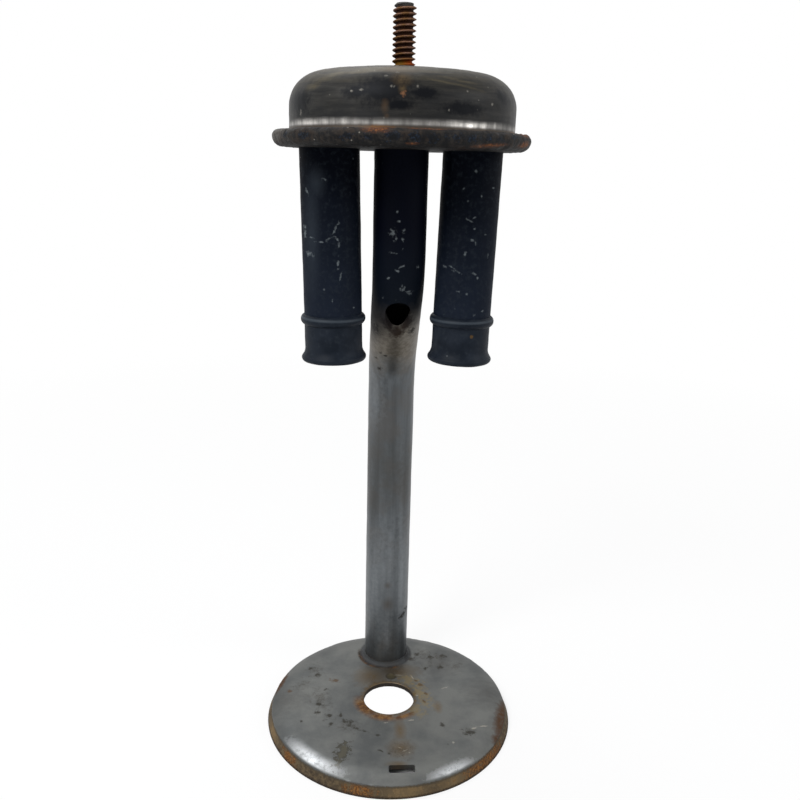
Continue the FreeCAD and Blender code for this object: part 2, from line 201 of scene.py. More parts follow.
collar = turned("collar", trace([
    (AIR_RADIUS - DISC_SHEET, DISC_TOP - DISC_SHEET / 2),
    (collar_foot, DISC_TOP - DISC_SHEET / 2),
    (collar_foot, DISC_TOP - COLLAR_EDGE),
    (AIR_RADIUS + COLLAR_LIP, DISC_TOP + COLLAR_HEIGHT, -(COLLAR_REACH - COLLAR_LIP)),
    (AIR_RADIUS - DISC_SHEET, DISC_TOP + COLLAR_HEIGHT),
], COLLAR_STEP), sides=128, line=lambda height: Matrix.Translation((0, AIR_BACK, height)))
combine(disc, collar, "UNION")
tube_plan = round_plan(0, AIR_BACK, AIR_RADIUS + TUBE_HOLE_GAP)
combine(disc, prism("tube_hole", tube_plan, 0, 2 * DISC_TOP), "DIFFERENCE")
slot_right, slot_back = (half / 2 for half in SLOT)
slot_plan = trace([
    (slot_right - SLOT_CORNER, -slot_back),
    (slot_right, SLOT_CORNER - slot_back, SLOT_CORNER),
    (slot_right, slot_back - SLOT_CORNER),
    (slot_right - SLOT_CORNER, slot_back, SLOT_CORNER),
    (SLOT_CORNER - slot_right, slot_back),
    (-slot_right, slot_back - SLOT_CORNER, SLOT_CORNER),
    (-slot_right, SLOT_CORNER - slot_back),
    (SLOT_CORNER - slot_right, -slot_back, SLOT_CORNER),
], SLOT_STEP)
slot_plan = [Vector(SLOT_PLACE) + point for point in slot_plan]
combine(disc, prism("slot", slot_plan, 0, 2 * DISC_TOP), "DIFFERENCE")

# Cold-rolled steel, wiped but never polished: a dull grey sheen under soft clouds, stained brown
# and black where fuel has burnt on it, and matt where it has rusted. Real rust has a finer grit,
# which is drawn as coarse as GRIT_WIDTH to show.
CLOUD_WIDTH, RUST_WIDTH, GRIT_WIDTH = 9.0, 1.1, 0.4
RAGGED_SHARE, BLOTCH_EDGE = 1.2, 1.6
HOLE_RING = (3.4, 1.8)


def linear(colour):
    """An sRGB hex colour as linear red, green, blue and alpha."""
    shares = [int(colour[at:at + 2], 16) / 255 for at in (1, 3, 5)]
    return [share / 12.92 if share <= 0.04045 else ((share + 0.055) / 1.055) ** 2.4
            for share in shares] + [1]


def add(metal, kind, *values, out=None, **named):
    """Adds one node: values fill its open sockets in turn, a name with a capital is a socket and
    any other name a setting. Returns its first open output, or the one that out names."""
    node = metal.node_tree.nodes.new("ShaderNode" + kind)
    sockets = {name.replace("_", " "): named[name] for name in named if name[0].isupper()}
    for name in named:
        if not name[0].isupper():
            setattr(node, name, named[name])
    inputs = [socket for socket in node.inputs if socket.enabled]
    pairs = list(zip(inputs, values))
    pairs += [(next(socket for socket in inputs if socket.name == name), sockets[name]) for name in sockets]
    for socket, value in pairs:
        if isinstance(value, bpy.types.NodeSocket):
            metal.node_tree.links.new(value, socket)
        else:
            socket.default_value = value
    if out:
        return node.outputs[out]
    return next((socket for socket in node.outputs if socket.enabled), None)


def start_metal(name):
    """An empty material, and the node output that gives the place on the piece in millimetres."""
    metal = bpy.data.materials.new(name)
    metal.use_nodes = True
    metal.node_tree.nodes.clear()
    place = add(metal, "TexCoord", out="Object")
    return metal, add(metal, "VectorMath", place, operation="SCALE", Scale=1 / MM)


def blotch(metal, place, ragged, centre, reach, turn, soft):
    """1 and more inside an oval blotch, falling to 0 and less across its soft edge, which the ragged
    noise breaks."""
    turn = [math.radians(angle) for angle in turn]
    local = add(metal, "Mapping", place, centre, turn, reach, vector_type="TEXTURE")
    away = add(metal, "VectorMath", local, operation="LENGTH")
    broken = add(metal, "Math", ragged, RAGGED_SHARE, away, operation="MULTIPLY_ADD")
    return add(metal, "Math", broken, -1 / soft, BLOTCH_EDGE / soft, operation="MULTIPLY_ADD")


def any_of(metal, *masks):
    """The largest of several masks, kept between 0 and 1."""
    top = 0.0
    for mask in masks:
        top = add(metal, "Math", mask, top, operation="MAXIMUM")
    return add(metal, "Math", top, 1.0, operation="MINIMUM")


def overlap(metal, *masks):
    """Several masks multiplied. Each is a node's output, a share, or a ramp written as a value, its
    low end and high end, and what it gives at each end if that isn't 0 and 1."""
    ready = [add(metal, "MapRange", *mask) if isinstance(mask, tuple) else mask for mask in masks]
    product = ready[0]
    for mask in ready[1:]:
        product = add(metal, "Math", product, mask, operation="MULTIPLY")
    return product


def coats(metal, base, *layers):
    """A base colour under coats of others. A coat is its shade and the masks that thin it."""
    colour = linear(base)
    for shade, *masks in layers:
        shade = linear(shade) if isinstance(shade, str) else shade
        colour = add(metal, "Mix", overlap(metal, *masks), colour, shade, data_type="RGBA")
    return colour


def finish(metal, pieces, **sockets):
    """Closes the material with its shader and gives it to the pieces."""
    add(metal, "OutputMaterial", add(metal, "BsdfPrincipled", **sockets))
    for piece in pieces:
        piece.data.materials.append(metal)


def fit(piece, node):
    """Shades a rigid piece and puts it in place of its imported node."""
    piece.data.shade_smooth()
    piece.data.set_sharp_from_angle(angle=SHARP_ANGLE)
    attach(piece, "root")
    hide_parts(node)


steel, place = start_metal("cold_rolled_steel")
cloud = add(steel, "TexNoise", place, Scale=1 / CLOUD_WIDTH, Detail=5.0, Roughness=0.6)
grain = add(steel, "TexNoise", place, Scale=1 / RUST_WIDTH, Detail=5.0, Roughness=0.65)
crumb = add(steel, "TexNoise", place, Scale=1 / GRIT_WIDTH, Detail=3.0, Roughness=0.7)
torn = add(steel, "MapRange", grain, 0.35, 0.65)
plan = add(steel, "VectorMath", place, (1, 1, 0), operation="MULTIPLY")
from_axis = add(steel, "VectorMath", plan, operation="LENGTH")
from_tube = add(steel, "VectorMath", plan, (0, AIR_BACK, 0), operation="DISTANCE")
from_weld = add(steel, "VectorMath", plan, (*WELD_PLACE, 0), operation="DISTANCE")
height = add(steel, "SeparateXYZ", place, out="Z")
ragged_height = add(steel, "Math", crumb, 0.8, height, operation="MULTIPLY_ADD")


def on_disc(ragged, rows, soft):
    """The largest of the disc's blotches, each (x, y, reach) or (x, y, wide, long, turn). A round
    one is its distance alone, since the renderer has no room for more long sums in one material."""
    jagged = add(steel, "Math", ragged, RAGGED_SHARE, operation="MULTIPLY")
    shown = []
    for x, y, reach, *oval in rows:
        if oval:
            shown.append(blotch(steel, plan, ragged, (x, y, 0), (reach, oval[0], 1), (0, 0, oval[1]), soft))
            continue
        away = add(steel, "VectorMath", plan, (x, y, 0), operation="DISTANCE")
        broken = add(steel, "Math", away, 1 / reach, jagged, operation="MULTIPLY_ADD")
        shown.append(add(steel, "Math", broken, -1 / soft, BLOTCH_EDGE / soft, operation="MULTIPLY_ADD"))
    return any_of(steel, *shown)


STAINS = [(-17.6, -2.5, 1.0), (-17.9, -5.4, 1.05), (-16.3, -8.2, 0.75), (-14.6, -9.9, 0.75),
          (-12.2, -6.4, 0.4, 1.1, 10), (-11.4, -8.8, 0.5, 1.0, 20), (-10.1, -10.5, 1.0),
          (-8.2, -11.7, 1.2, 0.5, -28), (-6.3, -12.7, 0.9, 0.4, -25), (-3.4, -14.1, 0.9, 0.4, -10),
          (-21.7, -8.6, 0.45), (12.7, -10.8, 0.85), (18.6, -14.0, 1.6, 1.0, -15), (17.3, -12.7, 0.6),
          (-0.8, -20.6, 0.45), (-2.6, -19.6, 1.1, 0.3, -30), (6.2, 17.2, 1.9), (13.2, -17.8, 0.45),
          (9.0, 18.6, 1.1), (12.3, 17.6, 1.0), (16.2, 18.0, 1.0), (10.4, 12.5, 0.9), (14.6, 12.8, 0.9),
          (-20.7, 13.2, 0.8), (-18.4, 10.1, 0.9), (-16.4, 3.6, 0.8), (-14.9, -6.8, 0.8), (-9.9, -9.2, 1.0)]
SPECKLED = [(-19.5, 12.2, 3.0), (-17.4, -0.5, 2.9, 5.6, 8), (10.5, 18.7, 2.2), (14.5, 17.5, 1.9),
            (12.3, 14.1, 1.5), (15.0, 13.9, 1.5), (10.0, 12.9, 1.1), (19.0, 13.5, 1.7), (2.2, -19.6, 3.1),
            (-10.5, -10.0, 4.2, 2.4, -38), (18.6, -13.6, 2.0), (-22.0, 6.0, 2.5)]
# Painted shade: darker patches on the disc's back right, right and left.
PAINTED_SHADE_PATCHES = [(14.0, 15.5, 9.0), (26.0, 1.0, 8.0), (-26.0, 0.0, 7.0)]
TANNED = [(-4.0, 9.0, 6.0), (2.5, 11.0, 7.5, 4.4, 0), (2.1, -12.5, 1.9, 5.0, 0), (2.0, -18.8, 4.0),
          (0.9, -23.9, 3.0, 1.3, 0), (12.2, -4.1, 1.4, 3.0, 0)]
HOLE_RUST = [(-6.8, -3.6, 3.4, 5.4, 28), (-2.2, -7.8, 5.2, 2.3, -8), (3.6, -7.6, 4.0, 1.7, 22)]
HOLE_TAN = [(8.2, 1.5, 2.6, 6.8, 8), (5.4, 7.2, 3.8, 2.6, -40), (6.6, -5.0, 2.6, 3.2, 35)]
BROWN_SPOTS = [(-14.0, 7.6, 1.5, 0.9, -10), (-25.3, 3.4, 0.9), (8.6, 5.1, 0.9, 0.6, -30),
               (9.6, 1.8, 0.5, 1.1, 0), (8.9, -1.5, 0.5, 0.9, 15), (7.4, 7.0, 0.8, 0.4, -50)]
EDGE_RUST = [(28.0, -8.0, 2.3, 10.5, -17), (25.8, -15.2, 2.0, 2.6, -30), (-28.0, 8.0, 1.2, 6.0, -16)]
PALE = [(6.7, 8.4, 0.22, 1.0, 20), (7.4, 0.7, 0.45), (3.3, 9.4, 1.6, 0.2, -6), (14.7, 3.7, 1.0, 0.35, 30),
        (20.1, -12.3, 0.9, 0.35, 10), (22.6, -11.6, 1.7, 0.2, 8), (1.6, -18.4, 1.1, 0.25, -30),
        (3.9, -20.2, 0.4), (2.7, -19.6, 0.8, 0.2, 25), (14.5, -17.2, 0.4), (5.0, -8.9, 1.0, 0.25, 10),
        (-1.2, -9.6, 0.9, 0.25, 0)]
# Worn bright metal and painted highlight on the front left and front right of the shoulder.
WORN_AND_HIGHLIT = [(-18.8, -21.2, 11.0, 4.6, -42), (13.5, -25.8, 8.5, 2.6, 27)]
SKIRT_ORANGE = [(-8.0, -29.4, 4.0), (22.5, -20.5, 9.5, 4.0, 42), (-24.0, -18.0, 3.5), (10.0, 28.5, 7.0),
                (-26.0, 15.0, 6.5)]
SKIRT_SAND = [(3.0, -30.4, 6.5, 2.4, 0), (-28.5, -9.0, 4.5), (14.0, -27.0, 5.0, 3.0, 24)]
SPILL = [(-11.8, -20.0, 1.7, 4.2, -15)]
SPILL_INNER = [(-11.8, -20.0, 0.9, 3.2, -15)]
COLLAR_SIDE = [(-5.0, AIR_BACK - 4.0, 6.5, 7.0, 0), (1.7, 13.2, 2.0, 1.6, 0)]
stained = overlap(steel, on_disc(torn, STAINS, 0.7), 0.85)
wear_and_highlight = overlap(steel, (from_axis, flat + 0.8, crease - 1.6), (from_axis, crease - 0.05, crease - 0.5),
               on_disc(grain, WORN_AND_HIGHLIT, 0.9), (grain, 0.35, 0.6, 0.3, 0.95))
round_hole = add(steel, "Math", torn, 0.9, from_axis, operation="MULTIPLY_ADD")
hole_ring = add(steel, "MapRange", from_axis, *(HOLE_RADIUS + reach for reach in HOLE_RING))
hole_rust = overlap(steel, on_disc(grain, HOLE_RUST, 0.6), hole_ring)
edge_rust = overlap(steel, on_disc(grain, EDGE_RUST, 0.55), (grain, 0.3, 0.55, 0.6, 1.0))
collar_rust = overlap(steel, (from_tube, collar_foot + 0.9, collar_foot + 0.35),
                      (from_tube, collar_foot - 0.75, collar_foot - 0.3),
                      on_disc(grain, COLLAR_SIDE, 0.5), 0.9)
# Painted shade: the collar's rise is darkened to the tube foot's dark grey, where tube and disc meet.
collar_shade = add(steel, "MapRange", from_tube, collar_foot + 0.3, collar_foot - 0.3, 0.0, 0.7)
skirt_rust = overlap(steel, (ragged_height, skirt_top + 0.3, skirt_top + 0.05),
                     (from_axis, flat - 2.0, flat - 1.0))
bore = overlap(steel, (from_axis, HOLE_RADIUS + 0.2, HOLE_RADIUS + 0.05),
               (height, DISC_TOP - 0.1, DISC_TOP - 0.3))
hole_colour = coats(steel, "#4f3118", ("#7a5628", (grain, 0.42, 0.6)))
collar_colour = coats(steel, "#2a1e12", ("#5f3f1d", (grain, 0.48, 0.64)))
orange_colour = coats(steel, "#50331a", ("#84592b", (crumb, 0.42, 0.6)))
skirt_colour = coats(
    steel, "#3b3227",
    ("#5e503b", (grain, 0.38, 0.6)),
    ("#735f42", on_disc(torn, SKIRT_SAND, 0.9), 0.9),
    (orange_colour, on_disc(torn, SKIRT_ORANGE, 0.9)),
    ("#3f3a31", (ragged_height, skirt_top - 0.35, skirt_top - 0.05), 0.75),
    # darker towards the skirt's foot: painted shade where it stands on the floor
    ("#241d16", (ragged_height, 1.0, 0.65, 0.0, 0.85)))
colour = coats(
    steel, "#505252",
    ("#626361", (cloud, 0.36, 0.64)),
    ("#474643", (crumb, 0.58, 0.75, 0.0, 0.3)),
    # painted shade on the disc's back right, right and left
    ("#434342", on_disc(grain, PAINTED_SHADE_PATCHES, 1.0), 0.6),
    ("#5c4e3b", on_disc(grain, TANNED, 0.9), (grain, 0.36, 0.58, 0.55, 1.0)),
    ("#3b3832", on_disc(torn, SPECKLED, 1.0), (crumb, 0.48, 0.6, 0.2, 0.85)),
    ("#302d27", stained),
    ("#36332b", on_disc(torn, SPILL, 0.25), 0.8),
    ("#504d42", on_disc(torn, SPILL_INNER, 0.35), 0.6),
    ("#3d382f", (from_weld, WELD_RADIUS + 0.3, WELD_RADIUS, 0.0, 0.6)),
    ("#58513f", (from_weld, WELD_RADIUS - 0.1, WELD_RADIUS - 0.5)),
    # bright band round the shoulder: wear, and painted highlight where its curve catches the lamps
    ("#d2d5d8", wear_and_highlight),
    ("#3a3833", wear_and_highlight, (crumb, 0.6, 0.68)),
    ("#75684c", on_disc(torn, HOLE_TAN, 0.8), 0.75),
    ("#57462c", (round_hole, HOLE_RADIUS + 1.7, HOLE_RADIUS + 0.7, 0.0, 0.7)),
    (hole_colour, hole_rust, 0.9),
    ("#46331f", on_disc(torn, BROWN_SPOTS, 0.8), 0.75),
    ("#452f1d", edge_rust),
    ("#9a958a", on_disc(torn, PALE, 0.9), 0.6),
    (collar_colour, collar_rust),
    # painted shade on the collar where the tube meets the disc
    ("#323437", collar_shade),
    (skirt_colour, skirt_rust),
    ("#2b2620", bore))
dull = any_of(steel, skirt_rust, hole_rust, edge_rust, collar_rust, collar_shade, stained, bore)
rough = add(steel, "MapRange", dull, 0.0, 1.0, 0.5, 0.85)
shine = add(steel, "MapRange", dull, 0.0, 1.0, 0.88, 0.05)
gritty = overlap(steel, crumb, any_of(steel, skirt_rust, hole_ring))
relief = add(steel, "Math", gritty, overlap(steel, grain, 0.4))
bumps = add(steel, "Bump", Strength=0.5, Distance=0.12 * MM, Height=relief)
finish(steel, [disc], Base_Color=colour, Metallic=shine, Roughness=rough, Specular_IOR_Level=0.25,
       Normal=bumps)
fit(disc, "base_plate")

# The air tube: half-inch steel tube bent to an S, clenched over the disc at its foot and over the
# manifold's plate at its head. The generator's jet blows up through the shield-shaped port. Bare,
# drawn steel below, tinted brown by heat at the port, and black with soot above it, darker still
# towards the manifold as painted shade.
AIR_WALL = 0.9
AIR_FOOT = DISC_TOP - DISC_SHEET
BEND_ANGLE = math.radians(40)
BEND_ROUND = 17.5
BEND_TOP = 117.2
PORT_RADIUS = 2.85
CLENCH_GAP = 0.2
TUBE_STEP = 0.5
SEAT_MARGIN = 3.0
PLATE_SHEET = 1.0
plate_low, plate_high = (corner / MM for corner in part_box("manifold_plate"))
air_head = plate_low.z + PLATE_SHEET
bend_run = BEND_ROUND * BEND_ANGLE
bend_drop = BEND_ROUND * math.sin(BEND_ANGLE)
slant = (AIR_BACK - 2 * BEND_ROUND * (1 - math.cos(BEND_ANGLE))) / math.sin(BEND_ANGLE)
back_leg = BEND_TOP - 2 * bend_drop - slant * math.cos(BEND_ANGLE) - AIR_FOOT
AIR_RUNS = ((back_leg, 0), (bend_run, BEND_ANGLE), (slant, 0), (bend_run, -BEND_ANGLE), (math.inf, 0))


def air_line(along):
    """The matrix on the air tube's axis at a length along it: up the back, over, up the front."""
    here = Matrix.Translation((0, AIR_BACK, AIR_FOOT))
    for length, turn in AIR_RUNS:
        part = min(along, length)
        along -= part
        if turn:
            arm = Matrix.Translation((0, math.copysign(BEND_ROUND, -turn), 0))
            here = here @ arm @ Matrix.Rotation(turn * part / length, 4, "X") @ arm.inverted()
        else:
            here = here @ Matrix.Translation((0, 0, part))
    return here


air_inner = AIR_RADIUS - AIR_WALL
clench_bend = AIR_WALL + AIR_CLENCH / 2
head_seat = back_leg + 2 * bend_run + slant + air_head - BEND_TOP + CLENCH_GAP / 2
air_outline = trace([
    (AIR_RADIUS, -CLENCH_GAP),
    (AIR_RADIUS, head_seat),
    (AIR_RADIUS + AIR_CLENCH, head_seat),
    (AIR_RADIUS + AIR_CLENCH, head_seat + AIR_WALL),
    (air_inner + clench_bend, head_seat + AIR_WALL),
    (air_inner, head_seat + AIR_WALL - clench_bend, clench_bend),
    (air_inner, clench_bend - CLENCH_GAP - AIR_WALL),
    (air_inner + clench_bend, -CLENCH_GAP - AIR_WALL, clench_bend),
    (AIR_RADIUS + AIR_CLENCH, -CLENCH_GAP - AIR_WALL),
    (AIR_RADIUS + AIR_CLENCH, -CLENCH_GAP),
], TUBE_STEP)
air_tube = turned("s_bent_tube", air_outline, sides=96, line=air_line)
bent_low, bent_high = AIR_FOOT + SEAT_MARGIN, air_head - SEAT_MARGIN
uneven(air_tube, depth=0.05, grain=6.0, seed=7,
       share=lambda spot: 1.0 if bent_low < spot.z < bent_high else 0.0)
port_plan = round_plan(0, 0, PORT_RADIUS, sides=64)
combine(air_tube, prism("port", port_plan, BEND_TOP / 2, BEND_TOP), "DIFFERENCE")


def marks(metal, place, ragged, rows, soft):
    """The largest of a piece's blotches, each (x, y, z, wide, deep, high) and, if it leans, its lean
    to the right in degrees."""
    shown = []
    for x, y, z, wide, deep, high, *lean in rows:
        shown.append(blotch(metal, place, ragged, (x, y, z), (wide, deep, high), (0, sum(lean), 0), soft))
    return any_of(metal, *shown)


def specks(metal, place, room, share):
    """Pale flecks of ash, about one to each room of so many millimetres, on a share of them."""
    cells = add(metal, "TexVoronoi", place, Scale=1 / room, out="Distance")
    return overlap(metal, (cells, 0.15, 0.06), (cells.node.outputs["Color"], 1.0 - share, 1.04 - share))


# Drawn steel tube: a soft grey sheen with faint streaks down its length, which are really finer and
# are drawn as wide as STREAK_WIDTH to show. Heat browns it, and soot covers it in matt blue-black,
# which darkens towards the top as painted shade under the manifold.
STREAK_WIDTH, STREAK_LENGTH = 2.2, 34.0
HAZE_WIDTH, SCALE_WIDTH, FLECK_WIDTH = 6.0, 1.0, 0.6
BROWN_PATCHES = [(-0.1, 14.0, 27.8, 1.3, 2.5, 1.2), (0.0, 14.0, 22.2, 1.9, 2.5, 2.6),
                 (3.7, 8.0, 94.5, 1.2, 2.5, 0.9), (2.8, 9.5, 92.6, 0.5, 2.5, 1.6)]
DARK_SPOTS = [(-4.2, 12.2, 90.2, 0.5, 2.0, 0.5, 30), (-3.1, 10.0, 92.1, 0.4, 2.0, 0.4),
              (-2.4, 9.8, 91.3, 0.7, 2.0, 0.4), (4.3, 16.0, 17.9, 1.7, 2.5, 1.0, -20),
              (5.2, 17.4, 19.2, 0.7, 2.5, 0.7), (-3.4, 13.4, 87.2, 0.6, 2.0, 0.5),
              (-4.6, 6.0, 98.6, 1.6, 3.0, 1.8), (3.6, 4.5, 98.4, 0.9, 2.5, 1.2, 20)]
PORT_LIP = [(0.0, 3.4, 98.2, 2.1, 3.0, 1.9), (-2.3, 1.8, 100.4, 1.3, 3.2, 3.2, -31),
            (2.1, 1.6, 100.5, 1.3, 3.2, 3.2, 31)]
AIR_ASH = [(-1.0, -5.7, 125.5, 0.25, 3.0, 0.25), (-0.5, -5.7, 123.5, 0.35, 3.0, 0.3),
           (-1.8, -5.4, 121.0, 0.7, 3.0, 0.9), (-1.1, -5.6, 119.8, 0.6, 3.0, 0.3, -30),
           (0.4, -5.7, 121.5, 0.4, 3.0, 0.6, 30), (0.3, -5.7, 119.7, 0.35, 3.0, 0.35),
           (0.4, -5.7, 117.8, 0.3, 3.0, 0.35), (-1.3, -5.6, 116.9, 0.9, 3.0, 0.22, 6),
           (0.1, -5.7, 114.0, 0.9, 3.0, 0.22, -24), (-0.7, -5.7, 113.2, 0.5, 3.0, 0.3, 30),
           (-2.4, -5.1, 111.6, 0.7, 3.0, 0.2, -35), (-3.6, -4.5, 108.8, 0.25, 3.0, 0.25),
           (0.6, -5.7, 109.3, 0.6, 3.0, 0.7), (-3.5, -4.5, 106.9, 0.3, 3.0, 0.3),
           (-0.6, -5.7, 106.7, 0.35, 3.0, 0.25), (3.8, -4.3, 113.8, 0.3, 3.0, 0.4),
           (2.2, -5.2, 108.4, 0.9, 3.0, 0.5)]
# Lighter steel low on the tube, and a lighter patch on its left side that is painted light from the left.
LIGHTER_AND_LIT_PATCHES = [(0.0, AIR_BACK, 28.0, 20.0, 20.0, 24.0), (-6.0, AIR_BACK, 80.0, 5.0, 20.0, 12.0)]
# Darker grey bands round the tube, and a small one at its front foot that is painted shade where the tube
# meets the disc.
DARKER_BANDS_AND_FOOT_SHADE = [(0.0, AIR_BACK, 60.0, 20.0, 20.0, 13.0), (0.0, AIR_BACK - 5.0, 4.5, 5.0, 4.0, 2.5),
           (-4.0, AIR_BACK - 4.0, 52.0, 2.2, 5.0, 9.0)]
bare, place = start_metal("drawn_steel_tube")
across, height = (add(bare, "SeparateXYZ", place, out=axis) for axis in ("X", "Z"))
drawn_out = (1 / STREAK_WIDTH, 1 / STREAK_WIDTH, 1 / STREAK_LENGTH)
drawn = add(bare, "VectorMath", place, drawn_out, operation="MULTIPLY")
streaks = add(bare, "TexNoise", drawn, Scale=1.0, Detail=4.0, Roughness=0.55)
haze = add(bare, "TexNoise", place, Scale=1 / HAZE_WIDTH, Detail=4.0, Roughness=0.6)
grain = add(bare, "TexNoise", place, Scale=1 / SCALE_WIDTH, Detail=5.0, Roughness=0.65)
torn = add(bare, "MapRange", add(bare, "TexNoise", place, Scale=1 / FLECK_WIDTH, Detail=3.0), 0.36, 0.64)
hazy_height = add(bare, "Math", haze, 7.0, height, operation="MULTIPLY_ADD")
clouded_height = add(bare, "Math", across, -0.45, hazy_height, operation="MULTIPLY_ADD")
foot_height = add(bare, "Math", grain, 1.2, height, operation="MULTIPLY_ADD")
spots = overlap(bare, marks(bare, place, torn, DARK_SPOTS, 0.8), 0.8)
port_lip = marks(bare, place, grain, PORT_LIP, 0.5)
smoky = add(bare, "MapRange", clouded_height, 100.0, 107.0, 0.0, 0.9)
sooty = add(bare, "MapRange", hazy_height, 105.5, 109.5)
ash = any_of(bare, overlap(bare, marks(bare, place, torn, AIR_ASH, 1.3), 0.42),
             overlap(bare, specks(bare, place, 1.9, 0.16), 0.22))
foot_rust = add(bare, "MapRange", foot_height, 5.6, 4.9)
lighter_colour = coats(bare, "#6f7376", ("#7d8184", (streaks, 0.36, 0.64)))
heat_colour = coats(bare, "#5b544a", ("#6c665c", (grain, 0.42, 0.6)))
# Soot, darkening towards the top as painted shade under the manifold.
soot_and_shade_colour = coats(bare, "#0b1119", ("#00020c", (height, 106.0, 122.0)))
colour = coats(
    bare, "#4c4f51",
    ("#606467", (streaks, 0.34, 0.66)),
    ("#585552", (haze, 0.45, 0.62, 0.0, 0.45)),
    # lighter steel low down, and painted light on the tube's left side
    (lighter_colour, marks(bare, place, grain, LIGHTER_AND_LIT_PATCHES, 0.9), 0.8),
    # darker grey bands, and painted shade at the tube's front foot
    ("#464644", marks(bare, place, grain, DARKER_BANDS_AND_FOOT_SHADE, 0.9), 0.6),
    ("#5a5148", marks(bare, place, grain, BROWN_PATCHES, 0.9), 0.6),
    (heat_colour, (hazy_height, 89.5, 96.0, 0.0, 0.85)),
    ("#24221e", spots),
    ("#261c13", port_lip, 0.95),
    ("#1f1f22", smoky),
    (soot_and_shade_colour, sooty),
    ("#8f979a", ash, sooty),
    ("#33281d", foot_rust))
dull = any_of(bare, smoky, foot_rust, spots, port_lip)
rough = add(bare, "MapRange", dull, 0.0, 1.0, 0.42, 0.65)
shine = add(bare, "MapRange", dull, 0.0, 0.9, 0.85, 0.0)
relief = overlap(bare, grain, (dull, 0.0, 1.0, 0.3, 1.0))
bumps = add(bare, "Bump", Strength=0.4, Distance=0.1 * MM, Height=relief)
finish(bare, [air_tube], Base_Color=colour, Metallic=shine, Roughness=rough, Specular_IOR_Level=0.05,
       Normal=bumps)
fit(air_tube, "air_tube")

# The manifold's plate: pressed from 1 mm steel, nearly flat, its edge rolled up over the cap's flange
# to make the rim. It sits in the flame's heat, so it is scaled, pitted and rusted all round.
PLATE_DISH = 0.15
PLATE_SLOPE = 1.5
RIM_RADIUS = plate_high.x
RIM_HEEL = 2.05
RIM_STEP = 0.24
HEM_OVERLAP = 0.55
MANTLE_RADIUS = 6.35
MANTLE_WALL = 0.6
MANTLE_OFFSET = 15.13
TUBE_GAP = 0.1
CUT_OVERRUN = 2.0
flange = plate_low.z + PLATE_DISH + PLATE_SHEET
hem = plate_high.z - PLATE_SHEET
nose = plate_low.z + PLATE_DISH + RIM_HEEL
pocket = (hem - flange) / 2
hem_turn = RIM_RADIUS - PLATE_SHEET - pocket
heel = RIM_RADIUS - RIM_HEEL
rim_outline = trace([
    (AIR_RADIUS + TUBE_GAP, plate_low.z),
    (heel - PLATE_SLOPE, plate_low.z),
    (heel, plate_low.z + PLATE_DISH),
    (RIM_RADIUS, nose, RIM_HEEL),
    (RIM_RADIUS - (plate_high.z - nose), plate_high.z, plate_high.z - nose),
    (hem_turn - HEM_OVERLAP + PLATE_SHEET / 2, plate_high.z),
    (hem_turn - HEM_OVERLAP, plate_high.z - PLATE_SHEET / 2, PLATE_SHEET / 2),
    (hem_turn - HEM_OVERLAP, hem),
    (hem_turn, hem),
    (hem_turn + pocket, flange + pocket, -pocket),
    (hem_turn, flange, -pocket),
    (heel, flange),
    (heel - PLATE_SLOPE, plate_low.z + PLATE_SHEET),
    (AIR_RADIUS + TUBE_GAP, plate_low.z + PLATE_SHEET),
], RIM_STEP)
rim = turned("rolled_rim_plate", rim_outline, sides=420)
rim_zone = heel - PLATE_SLOPE / 2


def on_rim(spot):
    """1 on the rolled rim, falling to 0 on the flat of the plate."""
    return min(1.0, max(0.0, spot.xy.length - rim_zone))


uneven(rim, depth=0.16, grain=3.4, seed=11, share=on_rim)
uneven(rim, depth=0.1, grain=0.9, seed=13, share=on_rim)
for side in (-1, 1):
    tube_plan = round_plan(side * MANTLE_OFFSET, 0, MANTLE_RADIUS + TUBE_GAP)
    hole = prism("tube_hole", tube_plan, plate_low.z - CUT_OVERRUN, plate_high.z + CUT_OVERRUN)
    combine(rim, hole, "DIFFERENCE")

# Mill scale and rust on hot steel: black and brown crusts with no gloss, blued spots, orange where
# water stays, and pits that catch shadow. Its underside is darkened further as painted shade.
PATCH_WIDTH, CRUST_WIDTH, CRUMB_WIDTH, PIT_ROOM = 4.5, 1.0, 0.45, 2.6
# Grey scale at the rim's ends and back; at the left end it also stands in as a painted highlight on the
# rounded nose.
GREY_AND_HIGHLIT_ENDS = [(-26.0, -6.0, 140.8, 8.5, 12.0, 3.0), (27.5, -3.0, 141.0, 2.4, 6.0, 3.0),
             (0.0, 26.0, 140.8, 20.0, 4.0, 3.0)]
BLUED = [(-11.5, -24.3, 139.6, 1.5, 3.0, 0.9), (-7.8, -25.7, 139.5, 1.2, 3.0, 0.8),
         (-3.5, -26.6, 139.6, 1.7, 3.0, 1.1), (0.6, -26.8, 139.7, 1.3, 3.0, 1.0),
         (3.7, -26.6, 139.6, 1.2, 3.0, 1.1), (8.4, -25.5, 139.8, 2.2, 3.0, 0.8),
         (11.6, -24.2, 139.6, 1.6, 3.0, 0.7), (14.8, -22.4, 139.9, 0.9, 3.0, 0.9),
         (17.4, -20.5, 140.0, 1.0, 3.0, 0.8, 20), (20.3, -17.5, 140.4, 1.0, 3.0, 0.7),
         (-19.5, -18.4, 139.8, 1.1, 3.0, 0.8), (-23.3, -13.2, 140.0, 0.8, 3.0, 0.7),
         (9.0, 25.2, 140.2, 4.0, 3.0, 0.9), (-12.0, 24.0, 140.0, 3.0, 3.0, 0.8)]
